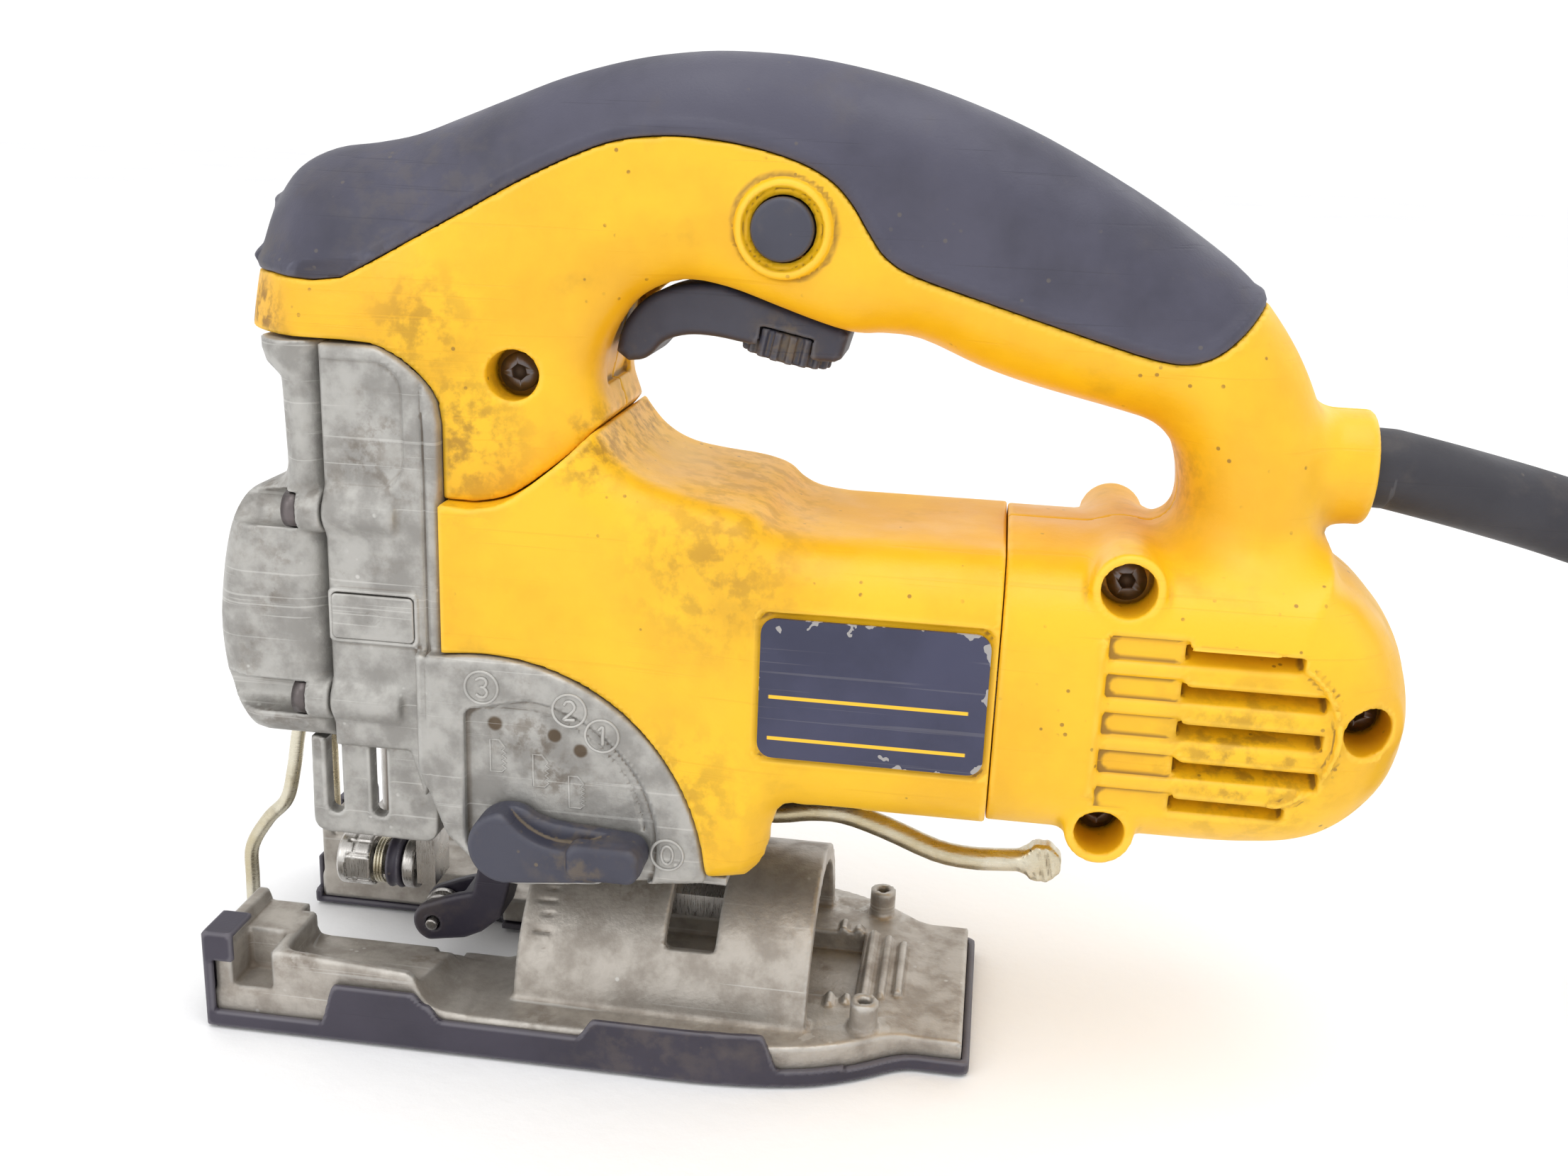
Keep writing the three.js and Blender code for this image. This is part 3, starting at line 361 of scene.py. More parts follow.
def clam_form(x, y, z):
    """The clamshell's outer skin: round handle, wider front, barrel of the motor cover and cord gland."""
    side = CLAM(x, z)
    low = 1 - ramp(z, 148, 182)
    front = (1 - ramp(x, -34, 10)) * low
    half = 19.5 + 6.6 * front
    nose = 1 - ramp(x, -66, -34)
    round_over = 15.5 - 8 * np.maximum(front, (1 - ramp(z, 150, 172)) * (1 - ramp(x, 40, 70)))
    round_over = round_over * (1 - nose) + (19 + 5 * low) * nose
    loop = rounded(side, np.abs(y) - half, round_over)
    barrel = rounded(np.maximum(side, slab(z, 40, MOTOR_TOP + 0.5)), np.abs(y) - MOTOR_HALF_W, 17)
    body = join(loop, np.maximum(barrel, 70 - x), 8)
    for bx, bz, r, reach in ((107.5, 109.5, 6.9, 31.4), (106.7, 60.3, 6.7, 31), (153.6, 85.6, 7, 26.4)):
        body = join(body, bar(x, z, np.abs(y), bx, bz, r, (-5, reach), 1.2), 2.5)
    body = join(body, bar(y, z, x, 0, GLAND[0], GLAND[1], (134, GLAND[2]), 1.4), 4)
    return body


VENT_PANEL = flat_field([(103.2, 68.7), (128, 68.7), *arc(132.5, 84.5, 15.9, -88, 88, 14), (103.2, 100.3)])
VENT_PITCH = 7.6


def vents(body, x, y, z):
    panel = VENT_PANEL(x, z)
    depth = np.abs(y)
    body = carve(body, rounded(panel, 32.8 - depth, 0.3), 0.4)
    frame_line = np.abs(panel + 0.5) - 0.5
    body = np.minimum(body, np.maximum(np.maximum(frame_line, body - 0.7), 25 - depth))
    for i in range(-2, 3):
        level = MOTOR_Z - 1 + i * VENT_PITCH
        reach = 145.4 if abs(i) < 2 else 140.2
        slope = (depth - 31) * 0.38
        cut = np.abs(z - level + slope) - 1.75
        through = rounded(cut, slab(x, 118.8, reach), 0.6)
        blind = np.maximum(rounded(np.abs(z - level) - 2.4, slab(x, 104.8, 119.4), 0.6), 31.6 - depth)
        body = carve(body, np.maximum(through, 18 - depth), 0.3)
        body = carve(body, blind, 0.3)
    return body


def shell_field(x, y, z, near=True):
    form = clam_form(x, y, z)
    zone = GRIP_ZONE(x, z) - 0.12
    shell = carve(form, np.maximum(zone, -(form + 2.7)), 0.25)
    ring = np.hypot(x - LOCK[0], z - LOCK[1])
    raised = np.maximum(rounded(ring - 9.3, -y - 21.2, 1.1), y + 12)
    shell = join(shell, raised, 1.0)
    shell = carve(shell, np.maximum(ring - 7.6, y + 20.2), 0.5)
    shell = carve(shell, bar(x, y, z, PLUNGER_X, 0, 6, (120, 168), 0.3), 0.2)
    if near:
        shell = carve(shell, np.maximum(ring - LOCK[2] - 0.35, y + 8), 0.3)
    shell = carve(shell, bar(y, z, x, 0, MOTOR_Z, 26.4, (60, 148), 1), 0.3)
    for hx, hz, seat, r in SCREW_HOLES:
        deep = seat if near else HOLE_TOPS[hx] - 2.5
        shell = carve(shell, np.maximum(np.hypot(x - hx, z - hz) - (r if near else r - 1), y + deep), 0.5)
    trigger_room = TRIGGER_ROOM(x, z)
    shell = carve(shell, np.maximum(trigger_room, np.abs(y) - 9.4), 0.5)
    shell = carve(shell, np.maximum(np.hypot(y, z - GLAND[0]) - 8.15, 143 - x), 0.6)
    shell = vents(shell, x, y, z)
    return rounded(rounded(shell, SHELL_LIMIT(x, z), 0.5), y + 0.09, 0.25)


def grip_field(x, y, z):
    form = clam_form(x, y, z)
    zone = GRIP_ZONE(x, z)
    bead = 0.55 * np.exp(-((zone + 2.2) / 1.1) ** 2)
    pimple = 0.0
    for px, pz in ((-67.2, 171.5), (-69.9, 160.8)):
        pimple = pimple + 0.9 * np.exp(-((x - px) ** 2 + (z - pz) ** 2) / 2.2) * (np.abs(y) < 12)
    grip = rounded(form - 0.3 - bead - pimple, zone + 0.12, 0.7)
    grip = carve(grip, form + 2.45, 0.3)
    return rounded(grip, y + 0.09, 0.25)


TRIGGER_ROOM = flat_field([(1.5, 138), (6.4, 160), (13, 166.5), (32, 167.5), (55, 161), (52, 138)])


# ---------- motor casing ----------
FIELD = flat_field([(-70, 160), *spline([(-8, 147), (0, 136.5), (5.4, 128.6), (9.4, 124.4), (14.8, 121.6),
    (22.5, 119.9), (32, 118.4), (36.6, 117), (39.6, 114.8), (43.5, 113.4), (50, MOTOR_TOP)], 4),
    (130, MOTOR_TOP), (130, MOTOR_LOW), *spline([(60, MOTOR_LOW), (49, MOTOR_LOW), (45, 56.8), (43.5, 54.4),
    (42.6, 49.6), (40.8, 45), (37.4, 41.7)], 3), (29.6, 41.4), (-70, 41.4)])
FIELD_LIMIT = flat_field([(-25.95, 115.8), *[(px + 0.1, pz - 0.35) for px, pz in SHELL_SEAM[21:]], (20, 140),
                          (SEAM_X - 0.12, 140), (SEAM_X - 0.12, 20), (-25.95, 20)])


def field_case_field(x, y, z):
    wide = ramp(x, 4, 46)
    half = 30 + 3.5 * wide
    side = FIELD(x, z)
    high = ramp(z, 60, 90)
    round_over = 4 + 11 * ramp(x, 26, 52) + 6 * high * (1 - ramp(x, 10, 52))
    body = rounded(side, np.abs(y) - half, round_over)
    pocket = rounded(slab(x, 38.4, 84.0), slab(z, 70.3, 100.7), 2.6)
    body = carve(body, np.maximum(pocket, 33.0 - np.abs(y)), 0.3)
    body = np.minimum(body, np.maximum(np.maximum(np.abs(pocket - 0.3) - 0.4, body - 0.4), 30 - np.abs(y)))
    body = carve(body, np.hypot(x - SECTOR_CENTRE[0], z - SECTOR_CENTRE[1]) - 46.85, 0.5)
    body = carve(body, bar(y, z, x, 0, MOTOR_Z, 26.4, (-60, 120), 0.5), 0.2)
    body = carve(body, np.maximum(np.abs(y) - 26.4, slab(z, 20, 70) + 1e3 * (x > 60)), 0.2)
    return rounded(body, FIELD_LIMIT(x, z), 0.5)


# ---------- gear case, its front cover and the skirts ----------
CASE_BACK = -26.25
COVER_SCREW_Y = 26.3
COVER_SCREW_LEVELS = (112.1, 72.2)
SECTOR_CENTRE = (-17.2, 39)
PLUNGER_X = -47
CASE = flat_field([(-50.1, 145.6), (-41, 145.6), *spline([(-38.6, 145.5), (-34.4, 143.4), (-30.2, 140.2),
    (-27.2, 136), (CASE_BACK, 131)], 4), (CASE_BACK, 62), (-31, 52), (-34, 62), (-50.1, 62)])
SECTOR = flat_field([(-31, 60), (-31, 84.8), *arc(*SECTOR_CENTRE, 46.55, 100, 3, 40), (29.2, 41),
    (28.5, 40.4), (0, 37), (-10, 35.9), *arc(-11, 47, 11, 270, 215, 8), (-25.4, 46), (-27.6, 51.8)])
SKIRT = flat_field([(-57.3, 66), (-57.5, 44), *arc(-54.5, 43, 3, 180, 270, 5),
                    *arc(-33, 43, 3.2, 270, 350, 5), (-29.4, 50), (-29.4, 66)])
LEVER = (-11, 47)
RECESS = flat_field([*arc(*LEVER, 30.2, -9, 84, 18), *arc(-18.6, 72.2, 2.4, 84, 176, 5), (-21, 47),
                     *arc(*LEVER, 9.9, 180, 285, 8), (16, 38.9), (18.4, 40)])


def gear_case_field(x, y, z):
    depth = np.abs(y)
    body = rounded(CASE(x, z), depth - 28, 1.6)
    body = join(body, rounded(SECTOR(x, z), depth - 31.4, 1.3), 0.8)
    skirt = rounded(SKIRT(x, z), depth - 23.9, 0.8)
    for cx in (-52.2, -42.3):
        hole = rounded(np.abs(x - cx) - 1.75, slab(z, 45, 62.4), 1.5)
        rim = np.maximum(np.abs(hole - 0.5) - 0.5, np.maximum(depth - 24.4, 22 - depth))
        skirt = np.minimum(skirt, rim)
        skirt = carve(skirt, hole, 0.3)
    body = join(body, skirt, 1.5)
    for bz in COVER_SCREW_LEVELS:
        body = join(body, bar(depth, z, x, 25.6, bz, 4.5, (-50.1, -35), 1.2), 1.6)
    body = np.maximum(body, -50.15 - x - 1e3 * (z < 62.2))
    plate = rounded(slab(x, -49.9, -30.9), slab(z, 85.4, 96.7), 1.2)
    body = np.minimum(body, np.maximum(np.maximum(plate, body - 0.75), 20 - depth))
    body = carve(body, np.maximum(rounded(slab(x, -48.9, -31.8), slab(z, 86.2, 95.9), 1), 27.9 - depth), 0.2)
    panel = rounded(slab(x, -60, -33.2), slab(z, 117.6, 142.8), 6)
    body = carve(body, rounded(panel, 27.3 - depth, 0.4), 0.5)
    line_x = -29.2 + 0.8 * ramp(z, 95, 50) - 0.6 * ramp(z, 120, 140)
    groove = np.maximum(np.abs(x - line_x) - 0.3, np.where(z > 84, 27.3, 30.9) - depth)
    body = carve(body, np.maximum(groove, slab(z, 51, 141)), 0.4)
    near = y + 29.15
    body = carve(body, np.maximum(RECESS(x, z), near), 0.5)
    far_recess = np.maximum(rounded(slab(x, -20, 14), slab(z, 44, 66), 6), 30.6 - y)
    body = carve(body, far_recess, 0.5)
    arc_line = np.abs(np.hypot(x - LEVER[0], z - LEVER[1]) - 27.4) - 0.3
    body = carve(body, np.maximum(arc_line, np.maximum(y + 28.7, -17 - x + 1e3 * (z < 50))), 0.3)
    body = carve(body, block(x, y, z, (-49.6, -30), (-25.2, 25.2), (66, 142), 1), 0.2)
    body = carve(body, block(x, y, z, (-28.5, 60), (-25.2, 25.2), (41, 110), 1), 0.2)
    body = carve(body, block(x, y, z, (-20, 60), (-27.2, 27.2), (41, 96), 1), 0.2)
    body = carve(body, block(x, y, z, (-60, -31), (-20.5, 20.5), (30, 63.5), 1), 0.2)
    body = carve(body, block(x, y, z, (-28.5, 60), (-26.6, 26.6), (20, 41.5), 1), 0.2)
    saddle = np.maximum(block(x, y, z, (-8, 38), (-26.9, 26.9), (38.4, 40.4), 0.4), 30.2 - np.hypot(y, z - 4))
    return np.minimum(body, saddle)


COVER = flat_field([(-50.4, 145.5), *spline([(-57, 145.7), (-59.8, 145.3), (-60.4, 143), (-59, 140.6),
    (-57.6, 136), (-57, 128), (-57.2, 121), (-60.5, 117.6), (-66, 115.6), (-69.6, 113), (-72.8, 107),
    (-75.1, 97), (-76.3, 85), (-75.1, 73), (-72.6, 66.6), (-69.8, 63), (-66.5, 61.9)], 4), (-50.4, 61.9)])
COVER_TOP = flat_field([(-50.4, 160), (-64.6, 160), (-64.4, 143.5), (-63.4, 140.4), (-60.6, 137.6),
    (-60.2, 122), (-59.8, 112), (-50.4, 112)])


def case_cover_field(x, y, z):
    depth = np.abs(y)
    nose = rounded(COVER_TOP(x, z), depth - 28, 9)
    swell = rounded(COVER(x, z), depth - 28, 8)
    body = np.maximum(join(swell, nose, 3), slab(z, 62, 145.7))
    body = rounded(body, x + 50.4, 0.3)
    for bz in COVER_SCREW_LEVELS:
        boss = bar(depth, z, x, 25.6, bz, 4.6, (-57.8, -50.4), 0.6)
        body = join(body, boss, 1.2)
        body = carve(body, bar(depth, z, x, COVER_SCREW_Y, bz, 3.95, (-90, -55.3), 0.2), 0.3)
    body = carve(body, block(x, y, z, (-54.5, -40), (-21, 21), (116, 142), 1), 0.2)
    body = carve(body, block(x, y, z, (-60, -40), (-19, 19), (68, 118), 1), 0.2)
    body = carve(body, bar(x, y, z, PLUNGER_X, 0, 5, (130, 160), 0.2), 0.2)
    return carve(body, block(x, y, z, (-56, -40), (-8.5, 8.5), (50, 70), 0.5), 0.2)


# ---------- controls ----------
TRIGGER = flat_field([*spline([(4.2, 144.6), (5.2, 149), (7.8, 153.2), (11.4, 156.3), (15.6, 158),
    (20.4, 158.9), (25.6, 158.9)], 4), (38, 155.2), (49.6, 151.6), (50.9, 150.2), (49.6, 145.6),
    (48.2, 144.9), (43.6, 144.9), (37, 146), *spline([(30, 147.7), (24, 148.6), (18.6, 148.6),
    (14.2, 147.2), (11.4, 144.4), (9.4, 143.2), (6.6, 142.8)], 4)])
DIAL = (38.2, 147.2, 9.3)
TILT = math.atan2(0.2, 0.98)


def trigger_field(x, y, z):
    body = rounded(TRIGGER(x, z), np.abs(y) - 8.5, 1.8)
    u = (x - DIAL[0]) * math.cos(TILT) - (z - DIAL[1]) * math.sin(TILT)
    w = (x - DIAL[0]) * math.sin(TILT) + (z - DIAL[1]) * math.cos(TILT)
    slot_room = np.maximum(np.hypot(u, y) - DIAL[2] - 0.35, np.abs(w) - 3.2)
    return carve(body, slot_room, 0.3)


def dial_field(x, y, z):
    u = (x - DIAL[0]) * math.cos(TILT) - (z - DIAL[1]) * math.sin(TILT)
    w = (x - DIAL[0]) * math.sin(TILT) + (z - DIAL[1]) * math.cos(TILT)
    turn = np.arctan2(y, u)
    ribs = 0.5 * np.tanh(2.5 * np.cos(turn * 18))
    wheel = rounded(np.hypot(u, y) - DIAL[2] + 0.5 - ribs, np.abs(w) - 2.85, 0.5)
    return carve(wheel, np.hypot(u, y) - 2.4, 0.2)


def lock_field(x, y, z):
    r = np.hypot(x - LOCK[0], z - LOCK[1])
    crown = 0.45 * (r / LOCK[2]) ** 2
    return rounded(r - LOCK[2], slab(y, -22.9 + crown, -14.2), 0.8)


LEVER_ARM = flat_field([*arc(*LEVER, 7.8, 48, 268, 20), (2, 40.6), (13.2, 42.1),
                        *arc(13.6, 46.3, 4.1, -80, 84, 8), (2, 51.2), *spline([(-2, 51.6), (-4.4, 52.3)], 3)])


def lever_field(x, y, z):
    arm = rounded(LEVER_ARM(x, z), slab(y, -37.4, -29.5), 1.3)
    swell = np.hypot(x - 1, z - 62) - 14
    arm = carve(arm, np.maximum(swell, y + 33), 1.5)
    pad = rounded(rounded(slab(x, 2.2, 17), slab(z, 42.5, 50.2), 2.4), slab(y, -39.3, -34), 1.5)
    arm = join(arm, pad, 0.8)
    return np.minimum(arm, bar(x, z, y, *LEVER, 3.95, (-31, -16), 0.2))


# ---------- clamp, guard, roller ----------
CLAMP_Z = 22.2
ROLLER = (-38.5, 10.2)
SWING = (-20, 44)
BEVEL_PIVOT_X = 25.2
BEVEL_KNOB = (98, 38.2)
GUARD = [(-85, 0, 6), (-84.9, 0, 14), (-84.4, 0, 22), (-80, 0, 29.5), (-75.2, 0, 35), (-73, 0, 43),
    (-71.6, 0, 51), (-70.2, 0, 56), (-67.4, 0, 58.9), (-64.8, 0, 56.6), (-63.9, 0, 51), (-63.8, 0, 44),
    (-63.8, 0, 33)]
BEVEL_ROD = [(27, 0, 43.4), (39.4, 0, 43.7), (47, 0, 45), (54.4, 0, 45.1), (63.6, 0, 42.5), (75, 0, 38.2),
             (82.5, 0, 37.2), (88, 0, 37.4), (96, 0, 38.1)]


def collar_field(x, y, z):
    d = z - CLAMP_Z
    r = np.hypot(y, d)
    turn = np.arctan2(d, y)
    ring = rounded(r - 6.3 + 0.3 * (np.cos(turn * 12) > 0.75) * (x > -59), slab(x, -61.2, -53.4), 0.6)
    ring = np.where(x > -59.2, np.maximum(ring, np.abs(y) - 5.7), ring)
    groove = np.hypot(x + 57.3, np.maximum(r - 5.3, 0) - 1.1) - 0.35
    ring = carve(ring, groove, 0.2)
    return carve(ring, r - 4.0, 0.3)


ARM = flat_field([*arc(*ROLLER, 4.8, 258, 109, 14), (-36.6, 16.2), (-33, 17.6), (-29, 18.8), (-26.6, 30),
                  *arc(*SWING, 4, 162, -20, 8), (-19, 26), (-22.5, 13), (-27, 9), (-31, 7)])


def roller_arm_field(x, y, z):
    arm = rounded(ARM(x, z), np.abs(y) - 5.9, 0.9)
    arm = carve(arm, np.maximum(np.abs(y) - 3.4, x + 31.5), 0.4)
    arm = carve(arm, np.hypot(x - ROLLER[0], z - ROLLER[1]) - 1.75, 0.2)
    return np.minimum(arm, bar(x, z, y, *SWING, 1.85, (-11, 11), 0.2))


def roller_field(x, y, z):
    r = np.hypot(x - ROLLER[0], z - ROLLER[1])
    wheel = rounded(r - 4.6, np.abs(y) - 3.05, 0.5)
    wheel = carve(wheel, np.hypot(r - 4.9, y) - 0.9, 0.3)
    pin = rounded(r - 1.4, np.abs(y) - 7.1, 0.4)
    return np.minimum(wheel, pin)


def clamp_ring_field(x, y, z):
    """The rubber ring of the blade clamp, with a waist."""
    r = np.hypot(y, z - CLAMP_Z)
    ring = rounded(r - 6.25, slab(x, -49.75, -46.25), 0.9)
    ring = carve(ring, np.hypot(x + 48, r - 7) - 1.3, 0.3)
    return carve(ring, r - 3.95, 0.2)


def clamp_washer_field(x, y, z):
    r = np.hypot(y, z - CLAMP_Z)
    return carve(rounded(r - 5.95, slab(x, -45.85, -42.85), 0.7), r - 3.95, 0.2)


def access_plug_field(x, y, z):
    plug = rounded(rounded(slab(x, -48.9, -31.8), slab(z, 86.35, 95.75), 1.0), slab(y, -29, -28.35), 0.3)
    return carve(plug, np.maximum(np.hypot(x + 40.3, z - 91) - 1.6, y + 28.8), 0.2)


def tie_field(x, y, z):
    """The strap round the coil, rounded at its corners."""
    px, pz = (x - 331.1, z - 12.8)
    half = (12.9, 12.8)
    loop = rounded(np.abs(px) - half[0], np.abs(pz) - half[1], 3.2)
    hollow = rounded(np.abs(px) - half[0] + 0.85, np.abs(pz) - half[1] + 0.85, 2.6)
    return rounded(carve(loop, hollow, 0.1), np.abs(y - COIL[1]) - 5.9, 0.3)


MARK_Y = -31.45
RECESS_MARK_Y = -29.1


def digit(shape, x, z):
    """A raised figure inside a ring, on the near sector plate."""
    return [oval(x, z, 3.4, 3.4, 36, 0.32), stroke([(x + u, MARK_Y, z + w) for u, w in shape], 0.36)]


def oval(x, z, wide, tall, steps, radius):
    turns = [2 * math.pi * k / steps for k in range(steps)]
    return closed_loop([(x + wide * math.cos(a), MARK_Y, z + tall * math.sin(a)) for a in turns], radius)


def stroke(points, radius):
    return sweep("stroke", spline(points, 4), radius, 8)


def closed_loop(points, radius, sides=8):
    """A round section carried along a closed path in a plane of constant y."""
    bm = bmesh.new()
    rings = []
    for i, p in enumerate(points):
        before, after = points[i - 1], points[(i + 1) % len(points)]
        along = Vector((after[0] - before[0], 0, after[2] - before[2])).normalized()
        across = Vector((-along.z, 0, along.x))
        offsets = (radius * (math.cos(a) * across + math.sin(a) * Vector((0, 1, 0)))
                   for a in (2 * math.pi * k / sides for k in range(sides)))
        rings.append([bm.verts.new((Vector(p) + offset) * MM) for offset in offsets])
    for a, b in zip(rings, rings[1:] + rings[:1]):
        for k in range(sides):
            bm.faces.new((a[k], a[(k + 1) % sides], b[(k + 1) % sides], b[k]))
    mesh = bpy.data.meshes.new("loop")
    bm.to_mesh(mesh)
    bm.free()
    return settle(mesh)


ONE = [(-0.8, 1.1), (0.2, 2), (0.2, 0), (0.2, -2)]
TWO = [(-1.1, 1.1), (-0.5, 1.9), (0.5, 1.9), (1.1, 1.1), (0.9, 0.2), (-0.2, -1), (-1.1, -1.9), (0, -1.9),
    (1.2, -1.9)]
THREE = [(-1.1, 1.5), (-0.3, 2), (0.7, 1.9), (1.1, 1.1), (0.6, 0.2), (-0.1, 0.1), (0.6, 0), (1.2, -0.9),
    (0.7, -1.9), (-0.3, -2), (-1.1, -1.5)]


def setting_marks():
    """The numerals of the orbital settings and three outlines of a saw blade, as one casting detail."""
    parts = [*digit(THREE, -17, 79.3), *digit(TWO, 1.1, 76), *digit(ONE, 7.8, 71.2)]
    parts += [oval(21.5, 46.5, 3.3, 3.3, 36, 0.32), oval(21.5, 46.5, 1.2, 2, 24, 0.34)]
    for bx, bz, teeth in ((-14.5, 64, 4), (-5.5, 61.5, 4), (2, 57.5, 5)):
        edge = [(bx - 1.6, bz + 3.4), (bx + 0.2, bz + 3.4), (bx + 1.6, bz + 1.8)]
        for k in range(teeth):
            level = bz + 1.2 - k * 4.4 / teeth
            edge += [(bx + 0.9, level), (bx + 1.7, level - 2.2 / teeth)]
        edge += [(bx + 0.9, bz - 3.6), (bx - 1.6, bz - 3.6)]
        parts.append(closed_loop([(u, RECESS_MARK_Y, w) for u, w in edge], 0.27, 6))
    return gathered("setting_marks", parts)


def gathered(name, meshes):
    """Several closed bodies in one mesh."""
    bm = bmesh.new()
    for mesh in meshes:
        bm.from_mesh(mesh)
        bpy.data.meshes.remove(mesh)
    mesh = bpy.data.meshes.new(name)
    bm.to_mesh(mesh)
    bm.free()
    return settle(mesh)


# ---------- repeated parts, made by node trees ----------
class Tree:
    """A geometry node tree with named inputs that ends in Realize Instances and Set Material."""
    def __init__(self, name):
        self.tree = bpy.data.node_groups.new(name, "GeometryNodeTree")
        self.tree.interface.new_socket("Geometry", in_out="OUTPUT", socket_type="NodeSocketGeometry")
        self.inputs = self.node("NodeGroupInput")
        self.values = {}

    def node(self, kind, **settings):
        made = self.tree.nodes.new(kind)
        for key, value in settings.items():
            setattr(made, key, value)
        return made

    def ask(self, name, kind, value=None):
        socket = self.tree.interface.new_socket(name, in_out="INPUT", socket_type=kind)
        if value is not None:
            self.values[socket.identifier] = value
        return next(s for s in self.inputs.outputs if s.identifier == socket.identifier)

    def link(self, source, target):
        self.tree.links.new(source, target)

    def bake(self, name, geometry, material, base=None):
        chosen = self.ask("Material", "NodeSocketMaterial", material)
        real = self.node("GeometryNodeRealizeInstances")
        paint = self.node("GeometryNodeSetMaterial")
        out = self.node("NodeGroupOutput")
        self.link(geometry, real.inputs["Geometry"])
        self.link(real.outputs["Geometry"], paint.inputs["Geometry"])
        self.link(chosen, paint.inputs["Material"])
        self.link(paint.outputs["Geometry"], out.inputs[0])
        holder = bpy.data.objects.new(name, base or bpy.data.meshes.new(name))
        bpy.context.scene.collection.objects.link(holder)
        modifier = holder.modifiers.new("build", "NODES")
        modifier.node_group = self.tree
        for identifier, value in self.values.items():
            modifier[identifier] = value
        bpy.context.view_layer.update()
        mesh = bpy.data.meshes.new_from_object(holder.evaluated_get(bpy.context.evaluated_depsgraph_get()))
        mesh.name = name
        holder.modifiers.remove(modifier)
        bpy.data.objects.remove(holder)
        return settle(mesh)


def screws(name, places, axis, head, shank, socket, material, seed):
    """Socket screws at the given points; each has its own turn about its axis."""
    t = Tree(name)
    points = t.ask("Geometry", "NodeSocketGeometry")
    head_r = t.ask("Head radius", "NodeSocketFloat", head[0] * MM)
    head_h = t.ask("Head height", "NodeSocketFloat", head[1] * MM)
    shank_r = t.ask("Shank radius", "NodeSocketFloat", shank[0] * MM)
    shank_h = t.ask("Shank length", "NodeSocketFloat", shank[1] * MM)
    socket_r = t.ask("Socket radius", "NodeSocketFloat", socket * MM)
    turn = t.ask("Axis turn", "NodeSocketVector", axis)
    fixed = t.ask("Seed", "NodeSocketInt", seed)

    def rod(sides, radius, height, lift):
        bar_node = t.node("GeometryNodeMeshCylinder")
        bar_node.inputs["Vertices"].default_value = sides
        t.link(radius, bar_node.inputs["Radius"])
        t.link(height, bar_node.inputs["Depth"])
        half = t.node("ShaderNodeMath", operation="MULTIPLY")
        t.link(height, half.inputs[0])
        half.inputs[1].default_value = lift
        offset = t.node("ShaderNodeCombineXYZ")
        t.link(half.outputs[0], offset.inputs["Z"])
        move = t.node("GeometryNodeTransform")
        t.link(bar_node.outputs["Mesh"], move.inputs["Geometry"])
        t.link(offset.outputs[0], move.inputs["Translation"])
        return move.outputs["Geometry"]
    whole = t.node("GeometryNodeMeshBoolean", operation="UNION", solver="EXACT")
    t.link(rod(32, head_r, head_h, -0.5), whole.inputs["Mesh 2"])
    t.link(rod(20, shank_r, shank_h, -0.5), whole.inputs["Mesh 2"])
    hollow = t.node("GeometryNodeMeshBoolean", operation="DIFFERENCE", solver="EXACT")
    t.link(whole.outputs["Mesh"], hollow.inputs["Mesh 1"])
    t.link(rod(6, socket_r, head_h, 0.0), hollow.inputs["Mesh 2"])
    spin = t.node("FunctionNodeRandomValue", data_type="FLOAT")
    spin.inputs[3].default_value = math.pi
    t.link(fixed, spin.inputs["Seed"])
    about = t.node("ShaderNodeCombineXYZ")
    t.link(spin.outputs[1], about.inputs["Z"])
    own = t.node("FunctionNodeEulerToRotation")
    t.link(about.outputs[0], own.inputs[0])
    lay = t.node("FunctionNodeEulerToRotation")
    t.link(turn, lay.inputs[0])
    both_turns = t.node("FunctionNodeRotateRotation", rotation_space="LOCAL")
    t.link(lay.outputs[0], both_turns.inputs[0])
    t.link(own.outputs[0], both_turns.inputs[1])
    place = t.node("GeometryNodeInstanceOnPoints")
    t.link(points, place.inputs["Points"])
    t.link(hollow.outputs["Mesh"], place.inputs["Instance"])
    t.link(both_turns.outputs[0], place.inputs["Rotation"])
    base = bpy.data.meshes.new(name + "_places")
    base.from_pydata([tuple(c * MM for c in p) for p in places], [], [])
    return t.bake(name, place.outputs["Instances"], material, base)


def coil_spring(name, x, z, radius, wire, length, turns, material):
    """A helical spring along X whose front end is at x."""
    t = Tree(name)
    spiral = t.node("GeometryNodeCurveSpiral")
    sizes = (("Rotations", turns), ("Start Radius", radius * MM), ("End Radius", radius * MM),
             ("Height", length * MM))
    for title, number in sizes:
        t.link(t.ask(title, "NodeSocketFloat", number), spiral.inputs[title])
    spiral.inputs["Resolution"].default_value = 40
    section = t.node("GeometryNodeCurvePrimitiveCircle")
    section.inputs["Resolution"].default_value = 12
    t.link(t.ask("Wire radius", "NodeSocketFloat", wire * MM), section.inputs["Radius"])
    skin = t.node("GeometryNodeCurveToMesh")
    skin.inputs["Fill Caps"].default_value = True
    t.link(spiral.outputs["Curve"], skin.inputs["Curve"])
    t.link(section.outputs["Curve"], skin.inputs["Profile Curve"])
    mesh = t.bake(name, skin.outputs["Mesh"], material)
    mesh.transform(Matrix.Translation((x * MM, 0, z * MM)) @ Matrix.Rotation(math.pi / 2, 4, "Y"))
    return settle(mesh)


